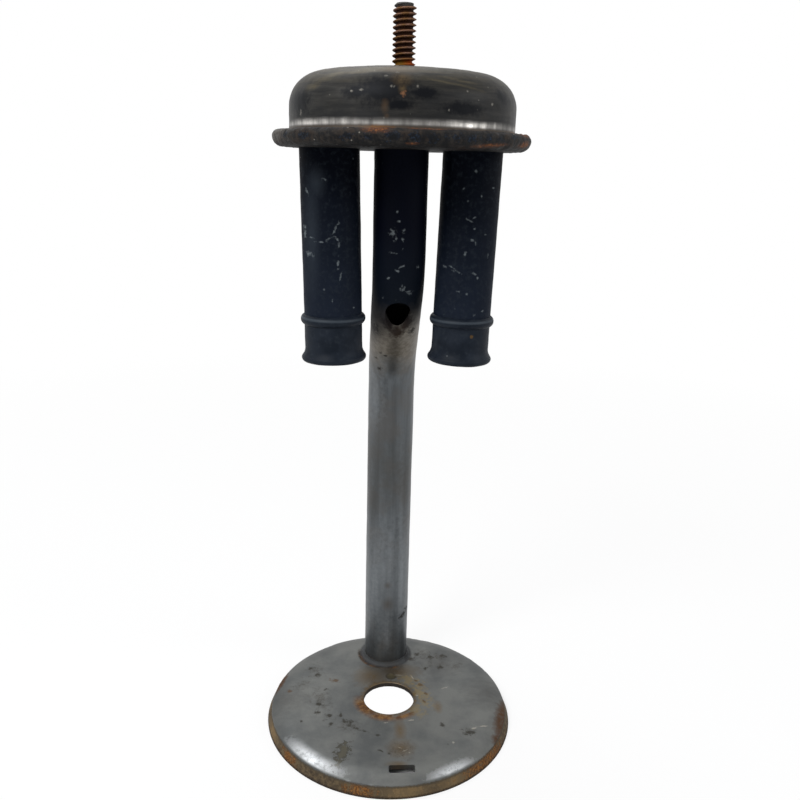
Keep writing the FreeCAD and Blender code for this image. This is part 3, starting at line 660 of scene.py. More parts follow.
ORANGE = [(15.0, -22.4, 138.5, 9.0, 5.0, 0.55, -6), (23.6, -12.8, 139.2, 2.5, 6.0, 0.8, -10),
          (-6.0, -25.2, 140.9, 3.4, 3.0, 1.0), (3.0, -25.4, 141.2, 5.0, 3.0, 0.3),
          (23.6, -11.0, 141.2, 4.4, 5.0, 0.9), (0.3, -26.4, 138.5, 1.4, 3.0, 0.3),
          (10.0, 24.0, 140.0, 9.0, 4.0, 1.2), (-20.0, 16.0, 140.0, 8.0, 6.0, 1.2)]
crust, place = start_metal("pitted_rusty_steel")
patches = add(crust, "TexNoise", place, Scale=1 / PATCH_WIDTH, Detail=3.0, Roughness=0.6)
grain = add(crust, "TexNoise", place, Scale=1 / CRUST_WIDTH, Detail=5.0, Roughness=0.7)
crumb = add(crust, "TexNoise", place, Scale=1 / CRUMB_WIDTH, Detail=3.0, Roughness=0.7)
pits = add(crust, "TexVoronoi", place, Scale=1 / PIT_ROOM, Randomness=1.0, feature="SMOOTH_F1")
height = add(crust, "SeparateXYZ", place, out="Z")
torn = add(crust, "MapRange", grain, 0.36, 0.64)
blued_colour = coats(crust, "#03050a", ("#222e3e", (crumb, 0.5, 0.68)))
orange_colour = coats(crust, "#5f3820", ("#8d5527", (crumb, 0.5, 0.68)))
colour = coats(
    crust, "#08090b",
    ("#292725", (grain, 0.47, 0.6)),
    ("#2e251e", (patches, 0.44, 0.6, 0.1, 0.7), (grain, 0.4, 0.55)),
    # grey ends, partly painted highlight on the rim's nose
    ("#625f5b", marks(crust, place, grain, GREY_AND_HIGHLIT_ENDS, 0.9), (crumb, 0.38, 0.6, 0.25, 0.95)),
    (blued_colour, marks(crust, place, torn, BLUED, 0.5)),
    (orange_colour, marks(crust, place, grain, ORANGE, 0.8), (crumb, 0.35, 0.6, 0.3, 0.9)),
    ("#060709", (pits, 0.3, 0.12, 0.0, 0.9)),
    ("#8f8a80", specks(crust, place, 1.3, 0.5), 0.7),
    # darker towards the rim's underside: painted shade
    ("#0d0c0c", (height, plate_low.z + 0.9, plate_low.z + 0.25, 0.0, 0.8)))
rough = add(crust, "MapRange", grain, 0.3, 0.7, 0.5, 0.8)
relief = add(crust, "Math", pits, 1.2, grain, operation="MULTIPLY_ADD")
bumps = add(crust, "Bump", Strength=0.7, Distance=0.25 * MM, Height=relief)
finish(crust, [rim], Base_Color=colour, Metallic=0.0, Roughness=rough, Specular_IOR_Level=0.15, Normal=bumps)
fit(rim, "manifold_plate")

# The manifold's cap: deep-drawn from 1 mm steel, a low dome over an upright wall, with a small
# fillet at its foot and a flange held in the rim. Scorched to a blackened grey with the draw
# lines still in it, scuffed brown on the shoulder, and worn bright along the fillet, where a
# painted highlight lies over the wear.
CAP_SHEET = 1.0
CAP_RADIUS = 23.4
CAP_CORNER = 6.5
CAP_CROWN = 130.0
CAP_FOOT = 1.8
CAP_STEP = 0.35
MANIFOLD_HEIGHT = 15.7
STUD_HOLE = 2.533
NUT_SEAT, FLANGE_MARGIN = 5.0, 0.3
crown_centre = plate_low.z + MANIFOLD_HEIGHT - CAP_CROWN
flange_top = flange + CAP_SHEET
wall_foot = flange_top + CAP_FOOT
reach = CAP_CROWN - CAP_CORNER
inset = CAP_RADIUS - CAP_CORNER
rise = math.sqrt(reach ** 2 - inset ** 2)
inner_crown = CAP_CROWN - CAP_SHEET
cap_outline = trace([
    (STUD_HOLE, crown_centre + math.sqrt(CAP_CROWN ** 2 - STUD_HOLE ** 2)),
    (inset * CAP_CROWN / reach, crown_centre + rise * CAP_CROWN / reach, -CAP_CROWN),
    (CAP_RADIUS, crown_centre + rise, -CAP_CORNER),
    (CAP_RADIUS, wall_foot),
    (CAP_RADIUS + CAP_FOOT, flange_top, CAP_FOOT),
    (hem_turn + pocket, flange_top),
    (hem_turn + pocket, flange),
    (CAP_RADIUS + CAP_FOOT, flange),
    (CAP_RADIUS - CAP_SHEET, wall_foot, -(CAP_FOOT + CAP_SHEET)),
    (CAP_RADIUS - CAP_SHEET, crown_centre + rise),
    (inset * inner_crown / reach, crown_centre + rise * inner_crown / reach, CAP_CORNER - CAP_SHEET),
    (STUD_HOLE, crown_centre + math.sqrt(inner_crown ** 2 - STUD_HOLE ** 2), inner_crown),
], CAP_STEP)
cap = turned("drawn_cap", cap_outline, sides=320)
uneven(cap, depth=0.12, grain=11.0, seed=17,
       share=lambda spot: 1.0 if spot.z > wall_foot and spot.xy.length > NUT_SEAT else 0.0)
uneven(cap, depth=0.03, grain=1.6, seed=19,
       share=lambda spot: 1.0 if spot.z > flange_top + FLANGE_MARGIN else 0.0)

# Steel scorched by the flames: nearly black with a low gloss. Draw rings run round it, soot and
# brown runs lie on its front, where the soot also stands in as a painted dark reflection. Handling
# has worn the fillet to bright metal, and its bright line is painted highlight as well.
RING_WIDTH, RINGS_TO_WIDTH, SMOKE_WIDTH, SOOT_WIDTH = 9.0, 8.0, 6.0, 0.9
GLINT_WIDTH, GLINT_HEIGHT = 2.1, 14.0
SCUFFS = [(-14.3, -17.0, 150.4, 4.6, 6.0, 0.9, -16), (-8.0, -19.5, 151.3, 6.0, 6.0, 0.8, -4),
          (-17.5, -13.5, 148.9, 2.6, 6.0, 1.0, -30), (8.5, -19.8, 150.0, 5.0, 5.0, 0.35, 8),
          (10.5, -19.0, 148.8, 5.0, 5.0, 0.3, 9), (6.0, -21.0, 149.4, 3.5, 5.0, 0.25, 8)]
# Soot on the cap, which on its front also stands in as a painted dark reflection.
SOOT_AND_DARK_REFLECTION = [(-4.4, -21.5, 147.8, 7.4, 6.4, 3.8), (-9.6, -20.5, 147.4, 3.4, 6.0, 1.6),
                (2.4, -23.0, 147.3, 3.8, 6.0, 1.4), (-2.0, -23.0, 145.2, 3.4, 6.0, 1.2),
                (18.2, -14.5, 147.8, 2.4, 4.0, 1.5, 20), (-8.0, 20.0, 148.0, 9.0, 6.0, 2.4),
                (10.0, -21.0, 145.0, 6.0, 5.0, 1.6), (-20.8, -11.5, 146.0, 3.4, 8.0, 3.2)]
BROWN_RUN = [(-2.0, -21.0, 151.6, 4.6, 9.0, 1.1), (-1.6, -22.5, 149.7, 2.4, 6.0, 1.7),
             (-1.5, -23.0, 148.0, 1.0, 5.0, 1.4), (0.0, -12.0, 153.0, 6.0, 9.0, 1.6)]
PALE_SPECKS = [(-10.7, -20.8, 147.5, 0.4, 2.0, 0.3), (-9.0, -21.6, 147.7, 0.4, 2.0, 0.25),
               (-3.5, -23.1, 148.4, 0.3, 2.0, 0.3), (-3.0, -23.2, 148.2, 0.25, 2.0, 0.4),
               (1.2, -23.4, 148.4, 0.3, 2.0, 0.35), (7.1, -22.3, 144.6, 0.22, 2.0, 0.25),
               (10.7, -20.8, 148.0, 0.3, 2.0, 0.2), (16.3, -16.9, 149.8, 0.45, 2.0, 0.2, 30),
               (17.2, -16.1, 149.4, 0.5, 2.0, 0.2, 40), (15.8, -17.3, 146.1, 0.25, 2.0, 0.25),
               (-20.3, -11.6, 143.9, 0.25, 2.0, 0.6), (-4.8, -22.9, 142.9, 0.25, 2.0, 0.35),
               (-4.3, -22.4, 150.1, 0.5, 2.0, 0.3), (-2.4, -22.7, 150.9, 0.6, 2.0, 0.25)]
WELL_LIT = [(-17.0, -14.0, 142.0, 9.0, 14.0, 5.0), (11.5, -19.0, 142.0, 9.0, 12.0, 5.0)]
SEAM_ORANGE = [(-6.0, -23.6, 141.0, 4.0, 4.0, 3.0), (22.0, -10.0, 141.0, 3.0, 6.0, 3.0)]
RUST_DROP = [(-1.3, -23.4, 147.1, 0.5, 2.0, 0.7)]
FAINT_RUNS = [(-4.6, -22.9, 144.9, 0.9, 3.0, 1.5), (-4.3, -22.9, 143.2, 0.7, 3.0, 0.6)]
dark, place = start_metal("scorched_steel")
across, back, height = (add(dark, "SeparateXYZ", place, out=axis) for axis in ("X", "Y", "Z"))
plan = add(dark, "VectorMath", place, (1, 1, 0), operation="MULTIPLY")
from_axis = add(dark, "VectorMath", plan, operation="LENGTH")
down_wall = add(dark, "Math", from_axis, height, operation="SUBTRACT")
drawn = add(dark, "CombineXYZ", across, back, overlap(dark, down_wall, RINGS_TO_WIDTH))
rings = add(dark, "TexNoise", drawn, Scale=1 / RING_WIDTH, Detail=4.0, Roughness=0.65)
smoke = add(dark, "TexNoise", place, Scale=1 / SMOKE_WIDTH, Detail=4.0, Roughness=0.6)
grain = add(dark, "TexNoise", place, Scale=1 / SOOT_WIDTH, Detail=5.0, Roughness=0.7)
torn = add(dark, "MapRange", grain, 0.36, 0.64)
glint_size = (1 / GLINT_WIDTH, 1 / GLINT_WIDTH, 1 / GLINT_HEIGHT)
glints = add(dark, "VectorMath", place, glint_size, operation="MULTIPLY")
glints = add(dark, "TexNoise", glints, Scale=1.0, Detail=3.0, Roughness=0.6)
clouded_height = add(dark, "Math", smoke, 5.0, height, operation="MULTIPLY_ADD")
ringed_height = add(dark, "Math", rings, 0.9, height, operation="MULTIPLY_ADD")
seam_height = add(dark, "Math", grain, 0.5, height, operation="MULTIPLY_ADD")
pale = any_of(dark, overlap(dark, marks(dark, place, torn, PALE_SPECKS, 1.1), 0.5),
              overlap(dark, specks(dark, place, 1.3, 0.2), 0.32))
below = add(dark, "MapRange", ringed_height, wall_foot + 1.9, wall_foot + 0.65,
            interpolation_type="SMOOTHSTEP")
# The bright line along the fillet: worn metal, and painted highlight where the fillet faces the light.
bright = overlap(dark, (height, wall_foot - 0.38, wall_foot + 0.22), below, (glints, 0.38, 0.62, 0.42, 1.0),
                 (marks(dark, place, grain, WELL_LIT, 0.9), 0.0, 1.0, 0.4, 1.0))
seam_colour = coats(dark, "#4a423a", ("#63411f", marks(dark, place, grain, SEAM_ORANGE, 0.9)))
colour = coats(
    dark, "#1f1f1f",
    ("#333230", (rings, 0.36, 0.64)),
    ("#222325", (smoke, 0.46, 0.64, 0.0, 0.6)),
    # lighter grey-brown over the top of the dome: scorch colour, and painted reflection of the light from
    # above
    ("#363228", (clouded_height, 150.2, 153.4), (rings, 0.36, 0.6, 0.2, 0.9)),
    ("#4d4738", marks(dark, place, grain, SCUFFS, 0.9), (rings, 0.38, 0.56, 0.3, 0.9)),
    # soot, and painted dark reflection on the front
    ("#06080d", marks(dark, place, grain, SOOT_AND_DARK_REFLECTION, 0.55), 0.95),
    ("#4d3f2a", marks(dark, place, grain, BROWN_RUN, 0.9), (grain, 0.4, 0.6, 0.3, 0.95)),
    ("#6a4a34", marks(dark, place, torn, RUST_DROP, 0.8)),
    ("#51402f", marks(dark, place, grain, FAINT_RUNS, 0.9), 0.5),
    ("#9b978e", pale),
    # painted highlight and wear along the fillet
    ("#dedad4", bright),
    (seam_colour, (seam_height, wall_foot + 0.35, wall_foot - 0.05), 0.9))
rough = add(dark, "MapRange", bright, 0.0, 1.0, 0.48, 0.3)
shine = add(dark, "MapRange", bright, 0.0, 1.0, 0.25, 1.0)
relief = add(dark, "Math", rings, 0.5, grain, operation="MULTIPLY_ADD")
bumps = add(dark, "Bump", Strength=0.35, Distance=0.08 * MM, Height=relief)
finish(dark, [cap], Base_Color=colour, Metallic=shine, Roughness=rough, Specular_IOR_Level=0.1, Normal=bumps)
fit(cap, "manifold_cap")

# The two mantle tubes: 12.7 mm steel tube, clenched over the manifold's plate and leaning in a
# little towards their mouths. The burning mantles have left them matt blue-black, with pale ash.
MANTLE_LENGTH = 34.65
MANTLE_CLENCH = 0.5
MANTLE_LEAN = math.radians(1.35)
mantle_inner = MANTLE_RADIUS - MANTLE_WALL
mantle_bend = MANTLE_WALL + MANTLE_CLENCH / 2
mantle_seat = PLATE_SHEET + CLENCH_GAP
mantle_outline = trace([
    (mantle_inner, -MANTLE_LENGTH),
    (MANTLE_RADIUS, -MANTLE_LENGTH),
    (MANTLE_RADIUS, mantle_seat),
    (MANTLE_RADIUS + MANTLE_CLENCH, mantle_seat),
    (MANTLE_RADIUS + MANTLE_CLENCH, mantle_seat + MANTLE_WALL),
    (mantle_inner + mantle_bend, mantle_seat + MANTLE_WALL),
    (mantle_inner, mantle_seat + MANTLE_WALL - mantle_bend, mantle_bend),
], TUBE_STEP)


def leaning(side):
    """The line of the left (-1) or right (1) mantle tube: heights are from the plate down."""
    foot = Matrix.Translation((side * MANTLE_OFFSET, 0, plate_low.z))
    lean = foot @ Matrix.Rotation(side * MANTLE_LEAN, 4, "Y")
    return lambda height: lean @ Matrix.Translation((0, 0, height))


# Steel under baked soot: matt, bluer below and flecked with pale ash. Nearly black at the top:
# painted shade under the manifold's plate.
TOP_SHADE_WIDTH = 5.0
# Painted highlight: a lighter upright stripe on the left tube's front left.
HIGHLIGHT_STRIPE = [(-18.6, -4.4, 120.0, 2.2, 4.0, 16.0), (-17.6, -5.0, 131.0, 2.4, 4.0, 4.0)]
TUBE_ASH = [(-20.2, -3.3, 121.8, 0.5, 3.0, 0.5), (-20.2, -3.3, 120.6, 0.4, 3.0, 1.1),
            (-18.8, -5.0, 119.8, 0.8, 3.0, 0.18, 8), (-16.9, -5.9, 119.0, 1.1, 3.0, 0.22, -4),
            (-14.8, -6.3, 119.9, 0.9, 3.0, 0.22, -28), (-13.7, -6.2, 121.8, 0.25, 3.0, 1.5, 26),
            (-13.1, -6.2, 123.2, 0.3, 3.0, 0.4), (-13.3, -6.2, 119.5, 0.3, 3.0, 1.1, -26),
            (-13.0, -6.1, 118.3, 0.35, 3.0, 0.45), (-19.7, -4.0, 129.3, 0.3, 3.0, 0.9, -18),
            (-16.0, -6.2, 131.7, 0.5, 3.0, 0.4), (-14.4, -6.3, 106.6, 0.22, 3.0, 0.4, 10),
            (-9.8, -3.8, 105.1, 0.4, 3.0, 0.22, 20), (-13.2, -6.2, 114.6, 0.25, 3.0, 1.2),
            (-12.6, -6.1, 111.9, 0.2, 3.0, 1.0, 10), (-19.2, -4.6, 116.4, 1.0, 3.0, 0.6),
            (15.0, -6.3, 133.9, 0.3, 3.0, 0.3), (12.6, -6.0, 130.3, 0.3, 3.0, 0.4),
            (19.1, -4.6, 130.7, 0.3, 3.0, 0.22), (16.4, -6.1, 129.0, 0.22, 3.0, 0.22),
            (14.0, -6.3, 124.1, 0.8, 3.0, 0.2, 25), (15.1, -6.3, 124.5, 0.6, 3.0, 0.2, -40),
            (15.3, -6.3, 122.3, 0.35, 3.0, 0.3), (14.9, -6.3, 120.0, 0.35, 3.0, 0.3),
            (15.6, -6.3, 119.3, 0.22, 3.0, 0.5), (17.8, -5.6, 121.2, 0.25, 3.0, 0.25),
            (13.5, -6.2, 117.0, 0.22, 3.0, 0.45), (18.6, -5.1, 116.8, 0.2, 3.0, 0.5),
            (9.6, -3.7, 114.1, 0.3, 3.0, 0.35), (10.9, -5.2, 114.2, 0.9, 3.0, 0.18, 32),
            (12.0, -5.6, 113.3, 0.9, 3.0, 0.3, 20), (15.8, -6.3, 112.9, 0.6, 3.0, 0.25, 30),
            (16.4, -6.2, 112.1, 0.3, 3.0, 0.3), (12.4, -5.9, 109.1, 0.35, 3.0, 0.3),
            (14.2, -6.3, 108.7, 0.35, 3.0, 0.3), (17.9, -5.5, 104.8, 0.4, 3.0, 0.2, -20),
            (16.2, -6.2, 104.0, 0.3, 3.0, 0.25)]
black, place = start_metal("sooty_tube_steel")
grain = add(black, "TexNoise", place, Scale=1 / SCALE_WIDTH, Detail=5.0, Roughness=0.65)
torn = add(black, "MapRange", add(black, "TexNoise", place, Scale=1 / FLECK_WIDTH, Detail=3.0), 0.36, 0.64)
top_shade_noise = add(black, "TexNoise", place, Scale=1 / TOP_SHADE_WIDTH, Detail=4.0, Roughness=0.6)
height = add(black, "SeparateXYZ", place, out="Z")
top_shade_height = add(black, "Math", top_shade_noise, 12.0, height, operation="MULTIPLY_ADD")
ash = any_of(black, overlap(black, marks(black, place, torn, TUBE_ASH, 1.3), 0.4),
             overlap(black, specks(black, place, 2.0, 0.16), 0.22))
colour = coats(
    black, "#161c27",
    # painted shade towards the top, under the manifold's plate
    ("#00030c", (top_shade_height, 110.0, 138.0)),
    ("#272d33", (grain, 0.5, 0.66, 0.0, 0.35)),
    # painted highlight stripe on the left tube
    ("#30363d", marks(black, place, grain, HIGHLIGHT_STRIPE, 0.9), 0.5),
    ("#8f989b", ash))
bumps = add(black, "Bump", Strength=0.35, Distance=0.1 * MM, Height=grain)
mantle_tubes = []
for name, side in (("left", -1), ("right", 1)):
    tube = turned("mantle_pipe_" + name, mantle_outline, sides=96, line=leaning(side))
    uneven(tube, depth=0.05, grain=5.0, seed=23 + side,
           share=lambda spot: 1.0 if spot.z < plate_low.z - SEAT_MARGIN else 0.0)
    fit(tube, "mantle_tube_" + name)
    mantle_tubes.append(tube)
finish(black, mantle_tubes, Base_Color=colour, Metallic=0.0, Roughness=0.62, Specular_IOR_Level=0.05,
       Normal=bumps)

# The burner caps: spun steel sleeves whose thin necks are pressed into the tubes' mouths as far
# as a bead. The mantle's cord is tied between the bead and the flared lip. Burnt blue-grey.
NECK_LENGTH = 3.0
NECK_WALL = 0.5
NECK_GAP = 0.03
BEAD_HEIGHT, BEAD_PROUD = 2.3, 0.78
TIE_LENGTH = 5.1
LIP_HEIGHT, LIP_PROUD = 2.35, 0.83
LIP_ROUND = 0.8
SLEEVE_STEP = 0.2
NECK_FOOT = 103.0
neck = mantle_inner - NECK_GAP
bead_top = -MANTLE_LENGTH
bead_foot = bead_top - BEAD_HEIGHT
bead_round = ((BEAD_HEIGHT / 2) ** 2 + BEAD_PROUD ** 2) / (2 * BEAD_PROUD)
inner_half = BEAD_HEIGHT / 2 - MANTLE_WALL / 2
inner_proud = BEAD_PROUD - MANTLE_WALL / 2
inner_round = (inner_half ** 2 + inner_proud ** 2) / (2 * inner_proud)
flare_start = bead_foot - TIE_LENGTH
flare = (LIP_HEIGHT ** 2 + LIP_PROUD ** 2) / (2 * LIP_PROUD) - LIP_ROUND
flare_share = flare / (flare + LIP_ROUND)
rolled = LIP_HEIGHT + LIP_ROUND
lip_reach = LIP_PROUD - LIP_ROUND
inner_flare = (rolled ** 2 + (lip_reach + MANTLE_WALL) ** 2) / (2 * (lip_reach + MANTLE_WALL))
bead_middle = (bead_top + bead_foot) / 2
sleeve_outline = trace([
    (neck - NECK_WALL, bead_top + NECK_LENGTH),
    (neck, bead_top + NECK_LENGTH),
    (neck, bead_top),
    (MANTLE_RADIUS, bead_top),
    (MANTLE_RADIUS, bead_foot, -bead_round),
    (MANTLE_RADIUS, flare_start),
    (MANTLE_RADIUS + flare + (lip_reach - flare) * flare_share,
     flare_start - LIP_HEIGHT * flare_share, flare),
    (MANTLE_RADIUS + lip_reach, flare_start - rolled, -LIP_ROUND),
    (mantle_inner, flare_start, -inner_flare),
    (mantle_inner, bead_middle - inner_half),
    (mantle_inner, bead_middle + inner_half, inner_round),
    (mantle_inner, bead_top - MANTLE_WALL / 4),
    (neck - NECK_WALL, bead_top + MANTLE_WALL / 4),
], SLEEVE_STEP)
# Spun steel burnt blue-grey: dark, with a faint satin gloss, and a painted highlight in a band round the
# bead.
BURN_WIDTH = 4.0
BEAD_HIGHLIGHT_BAND = ((102.0, 102.3), (102.75, 102.5))
BROWN_FLECK = [(15.8, -6.3, 99.3, 0.45, 3.0, 0.5)]
burnt, place = start_metal("burnt_spun_steel")
grain = add(burnt, "TexNoise", place, Scale=1 / SCALE_WIDTH, Detail=5.0, Roughness=0.6)
burn = add(burnt, "TexNoise", place, Scale=1 / BURN_WIDTH, Detail=4.0, Roughness=0.6)
height = add(burnt, "SeparateXYZ", place, out="Z")
colour = coats(
    burnt, "#0d141d",
    ("#1b212a", (burn, 0.36, 0.64)),
    ("#2e3337", (grain, 0.54, 0.72, 0.0, 0.3)),
    ("#7c8285", specks(burnt, place, 1.8, 0.16), 0.3),
    ("#5e4726", marks(burnt, place, grain, BROWN_FLECK, 0.5), 0.7),
    # painted highlight in a band round the bead
    ("#3d444b", *((height, *ends) for ends in BEAD_HIGHLIGHT_BAND), 0.75))
rough = add(burnt, "MapRange", grain, 0.3, 0.7, 0.45, 0.6)
bumps = add(burnt, "Bump", Strength=0.25, Distance=0.08 * MM, Height=grain)
sleeves = []
for name, side in (("left", -1), ("right", 1)):
    sleeve = turned("mantle_cap_" + name, sleeve_outline, sides=128, line=leaning(side))
    uneven(sleeve, depth=0.06, grain=4.5, seed=29 + side,
           share=lambda spot: 1.0 if spot.z < NECK_FOOT else 0.0)
    fit(sleeve, "burner_cap_" + name)
    sleeves.append(sleeve)
finish(burnt, sleeves, Base_Color=colour, Metallic=0.0, Roughness=rough, Specular_IOR_Level=0.1,
       Normal=bumps)

# The screens: cups pressed from woven steel gauze, hung by their rims in the caps' necks so that
# the flame can't strike back into the tubes. Burnt brown, and seen only from below.
WIRE_RADIUS = 0.14
WIRE_PITCH = 0.85
SCREEN_DEPTH = 5.0
SCREEN_RADIUS = neck - NECK_WALL - NECK_GAP - 2 * WIRE_RADIUS
SCREEN_TOP = bead_top + NECK_LENGTH
STEPS_PER_PITCH, HOOP_SIDES = 4, 48


def weave(side):
    """The runs of wire that make one cup: two crossed sets over its floor and up its wall, and
    hoops round the wall and under its rim."""
    line = leaning(side)
    floor = SCREEN_TOP - SCREEN_DEPTH + WIRE_RADIUS * 2
    last = int(SCREEN_RADIUS / WIRE_PITCH)
    runs = []
    for crossed in (False, True):
        for row in range(-last, last + 1):
            beside = row * WIRE_PITCH
            half = math.sqrt(SCREEN_RADIUS ** 2 - beside ** 2)
            steps = max(2, int(half / WIRE_PITCH * STEPS_PER_PITCH))
            flat_run = []
            for step in range(-steps, steps + 1):
                along = half * step / steps
                lift = WIRE_RADIUS * math.cos(math.pi * (along / WIRE_PITCH + row + crossed))
                flat_run.append((along, floor + lift))
            run = [(-half, SCREEN_TOP)] + flat_run + [(half, SCREEN_TOP)]
            runs.append([line(up) @ Vector((beside, along, 0) if crossed else (along, beside, 0))
                         for along, up in run])
    turns = [Matrix.Rotation(2 * math.pi * at / HOOP_SIDES, 4, "Z") for at in range(HOOP_SIDES + 1)]
    for hoop in range(1, int(SCREEN_DEPTH / WIRE_PITCH) + 1):
        here = line(floor + hoop * WIRE_PITCH - WIRE_RADIUS)
        runs.append([here @ (turn @ Vector((SCREEN_RADIUS, 0, 0))) for turn in turns])
    return runs


def wirework(name, runs, radius):
    """Round wire along every run, as one mesh."""
    curve = bpy.data.curves.new(name, "CURVE")
    curve.dimensions, curve.use_fill_caps = "3D", True
    curve.bevel_depth, curve.bevel_resolution = radius * MM, 1
    for run in runs:
        spline = curve.splines.new("POLY")
        spline.points.add(len(run) - 1)
        for point, spot in zip(spline.points, run):
            point.co = (*(spot * MM), 1)
    drawn = bpy.data.objects.new(name, curve)
    bpy.context.scene.collection.objects.link(drawn)
    mesh = bpy.data.meshes.new_from_object(drawn.evaluated_get(bpy.context.evaluated_depsgraph_get()))
    bpy.data.objects.remove(drawn)
    piece = bpy.data.objects.new(name, mesh)
    bpy.context.scene.collection.objects.link(piece)
    return piece


# Burnt steel wire: a half-dull brown that shows grey where the crust has come off.
SINGE_WIDTH = 0.8
gauze, place = start_metal("burnt_wire_gauze")
grain = add(gauze, "TexNoise", place, Scale=1 / SINGE_WIDTH, Detail=3.0)
colour = coats(gauze, "#2b2620", ("#5a5046", grain))
cups = []
for name, side in (("left", -1), ("right", 1)):
    cup = wirework("gauze_cup_" + name, weave(side), WIRE_RADIUS)
    fit(cup, "screen_" + name)
    cups.append(cup)
finish(gauze, cups, Base_Color=colour, Metallic=0.6, Roughness=0.6)

# The stud: a No. 10-24 steel machine screw pushed up through the cap from inside, for the
# ventilator's nut. Its rolled thread is rusted brown, orange in the wet corner at the cap.
stud_low, stud_high = (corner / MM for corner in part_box("stud"))
STUD_RADIUS = 2.413
SHANK_RADIUS = 2.1
SHANK_PROUD = 0.1
THREAD_PITCH = 25.4 / 24
THREAD_DEPTH = 0.6134 * THREAD_PITCH
CREST_SHARE, ROOT_SHARE = 1 / 8, 1 / 4
HEAD_HEIGHT = 2.7
HEAD_ROUND = 1.2
STUD_CHAMFER = 0.7
STUD_STEP = 0.06
SLACK = 0.01
RUST_PIT_DEPTH, RUST_PIT_WIDTH, RUST_LOSS = 0.05, 0.8, 0.03
head_radius = stud_high.x
head_seat = stud_low.z + HEAD_HEIGHT
thread_foot = crown_centre + CAP_CROWN + SHANK_PROUD
stud_outline = trace([
    (0, stud_low.z),
    (head_radius - HEAD_ROUND, stud_low.z),
    (head_radius, stud_low.z + HEAD_ROUND, HEAD_ROUND),
    (head_radius, head_seat),
    (SHANK_RADIUS, head_seat),
    (SHANK_RADIUS, thread_foot),
    (STUD_RADIUS, thread_foot),
    (STUD_RADIUS, stud_high.z - STUD_CHAMFER),
    (STUD_RADIUS - STUD_CHAMFER, stud_high.z),
    (0, stud_high.z),
], STUD_STEP, closed=False)
stud = turned("threaded_stud", stud_outline, sides=96, closed=False)
for vertex in stud.data.vertices:
    spot = vertex.co / MM
    radius = spot.xy.length
    if spot.z < thread_foot - SLACK or radius < STUD_RADIUS - STUD_CHAMFER:
        continue
    turn = math.atan2(spot.y, spot.x) / (2 * math.pi)
    from_crest = abs((spot.z / THREAD_PITCH - turn) % 1 - 0.5) * 2
    groove = min(1, max(0, (1 - from_crest - CREST_SHARE) / (1 - CREST_SHARE - ROOT_SHARE)))
    pitted = RUST_PIT_DEPTH * noise.fractal(spot / RUST_PIT_WIDTH, *LUMP_NOISE) - RUST_LOSS
    new_radius = min(radius, STUD_RADIUS - THREAD_DEPTH * groove + pitted)
    vertex.co.xy *= new_radius / radius
stud.data.update()

# Rusted steel: matt brown crests over near-black roots, bright orange where it stays wet.
THREAD_RUST_WIDTH, WET_WIDTH = 0.7, 1.6
rusty, place = start_metal("rusty_rolled_thread")
grain = add(rusty, "TexNoise", place, Scale=1 / THREAD_RUST_WIDTH, Detail=4.0, Roughness=0.7)
wet = add(rusty, "TexNoise", place, Scale=1 / WET_WIDTH, Detail=3.0)
across, height = (add(rusty, "SeparateXYZ", place, out=axis) for axis in ("X", "Z"))
plan = add(rusty, "VectorMath", place, (1, 1, 0), operation="MULTIPLY")
from_axis = add(rusty, "VectorMath", plan, operation="LENGTH")
foot_height = add(rusty, "Math", wet, 0.8, height, operation="MULTIPLY_ADD")
end_height = add(rusty, "Math", wet, 0.6, height, operation="MULTIPLY_ADD")
crest_colour = coats(rusty, "#7b5a3a", ("#8b6a5a", (wet, 0.4, 0.6)))
wet_colour = coats(rusty, "#6f4f18", ("#9a4410", (across, -0.6, 1.2)))
colour = coats(
    rusty, "#3c2010",
    (crest_colour, (from_axis, 2.02, 2.3)),
    ("#220d05", (from_axis, 2.12, 1.85)),
    ("#3a2a12", (grain, 0.5, 0.68, 0.0, 0.4)),
    (wet_colour, (foot_height, 155.9, 155.2, 0.0, 0.85)),
    ("#4b4a47", (end_height, 165.4, 165.8)))
bumps = add(rusty, "Bump", Strength=0.5, Distance=0.12 * MM, Height=grain)
finish(rusty, [stud], Base_Color=colour, Metallic=0.0, Roughness=0.75, Specular_IOR_Level=0.08, Normal=bumps)
fit(stud, "stud")

# The studio: a wide pale floor under an even white surround, one soft lamp high on the left and
# weaker ones on the right and high behind, and the camera where the burner was photographed from.
FLOOR_HALF = 4000.0
UNDER_HOLE = (11.6, 12.6)
UNDER_DISC = (27.0, 31.5)
SHADOW_FADE = (60.0, 420.0)
SHADOWED_SHARE = 0.86
floor_corners = [Vector((x, y, 0)) for x, y in ((-1, -1), (1, -1), (1, 1), (-1, 1))]
floor = solid("studio_floor", floor_corners, [(0, 1, 2, 3)])
floor.scale = (FLOOR_HALF, FLOOR_HALF, 1)

# Matt white paper: it takes soft shadows under the disc and in its hole, glows as white as the
# surround farther off, and is left out when it is seen from below.
paper = bpy.data.materials.new("studio_paper")
paper.use_nodes = True
paper.node_tree.nodes.clear()


def seen_rays(tree):
    """1 for the rays that show the surround: the camera's, and those in gloss and glass."""
    seen = add(tree, "LightPath", out="Is Camera Ray")
    for ray in ("Is Glossy Ray", "Is Transmission Ray"):
        seen = add(tree, "Math", seen, seen.node.outputs[ray] if ray in seen.node.outputs
                   else add(tree, "LightPath", out=ray), operation="MAXIMUM")
    return seen


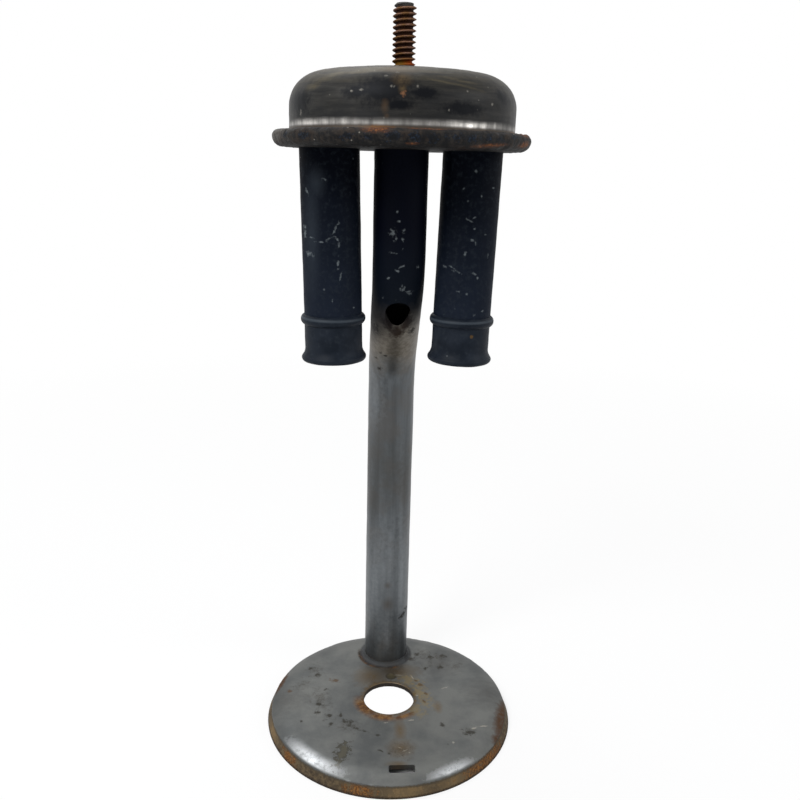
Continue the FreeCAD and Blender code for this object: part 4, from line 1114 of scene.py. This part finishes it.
from_axis = add(paper, "VectorMath", add(paper, "NewGeometry", out="Position"), operation="LENGTH")
past_disc = add(paper, "MapRange", from_axis, UNDER_DISC[0] * MM, UNDER_DISC[1] * MM, 0.0, SHADOWED_SHARE)
far_off = add(paper, "MapRange", from_axis, SHADOW_FADE[0] * MM, SHADOW_FADE[1] * MM,
              0.0, 1.0 - SHADOWED_SHARE)
through_hole = add(paper, "MapRange", from_axis, UNDER_HOLE[1] * MM, UNDER_HOLE[0] * MM)
share = add(paper, "Math", add(paper, "Math", past_disc, far_off), through_hole, operation="MAXIMUM")
seen = add(paper, "Math", seen_rays(paper), share, operation="MULTIPLY")
lit = add(paper, "BsdfDiffuse", linear("#f2f2f2"))
glow = add(paper, "Emission", (1, 1, 1, 1), 1.0)
from_under = add(paper, "NewGeometry", out="Backfacing")
shown = add(paper, "MixShader", seen, lit, glow)
add(paper, "OutputMaterial", add(paper, "MixShader", from_under, shown, add(paper, "BsdfTransparent")))
floor.data.materials.append(paper)

surround = bpy.data.worlds.new("studio_surround")
surround.use_nodes = True
surround.node_tree.nodes.clear()
level = add(surround, "Mix", seen_rays(surround), linear("#7c7e82"), (1, 1, 1, 1), data_type="RGBA")
add(surround, "OutputWorld", add(surround, "Background", level, 1.0))
bpy.context.scene.world = surround

BURNER_MIDDLE = Vector((0, 0, 85.0))
LAMPS = [("key_softbox", (-330.0, -330.0, 460.0), 300.0, 2.6),
         ("right_softbox", (430.0, -170.0, 300.0), 260.0, 0.7),
         ("overhead_softbox", (-70.0, 210.0, 600.0), 420.0, 1.9)]
for name, spot, width, power in LAMPS:
    lamp = bpy.data.lights.new(name, "AREA")
    lamp.shape, lamp.size, lamp.energy = "DISK", width * MM, power
    holder = bpy.data.objects.new(name, lamp)
    holder.location = Vector(spot) * MM
    holder.rotation_euler = (BURNER_MIDDLE - Vector(spot)).to_track_quat("-Z", "Y").to_euler()
    bpy.context.scene.collection.objects.link(holder)

CAMERA_BACK, CAMERA_UP, CAMERA_RIGHT = 177.64, 134.59, 0.963
CAMERA_PITCH, CAMERA_ROLL, BURNER_TURN = (math.radians(angle) for angle in (16.147, 1.431, 3.8))
LENS = 36.36
camera_spot = Vector((CAMERA_RIGHT, -CAMERA_BACK, CAMERA_UP)) * MM
lens = bpy.data.cameras.new("portrait_camera")
lens.lens, lens.sensor_width = LENS, 36.0
lens.clip_start, lens.clip_end = 0.01, 20.0
camera = bpy.data.objects.new("portrait_camera", lens)
camera.matrix_world = (Matrix.Rotation(-BURNER_TURN, 4, "Z") @ Matrix.Translation(camera_spot)
                       @ Matrix.Rotation(math.pi / 2 - CAMERA_PITCH, 4, "X")
                       @ Matrix.Rotation(CAMERA_ROLL, 4, "Z"))
bpy.context.scene.collection.objects.link(camera)
bpy.context.scene.camera = camera
bpy.context.scene.view_settings.view_transform = "Standard"
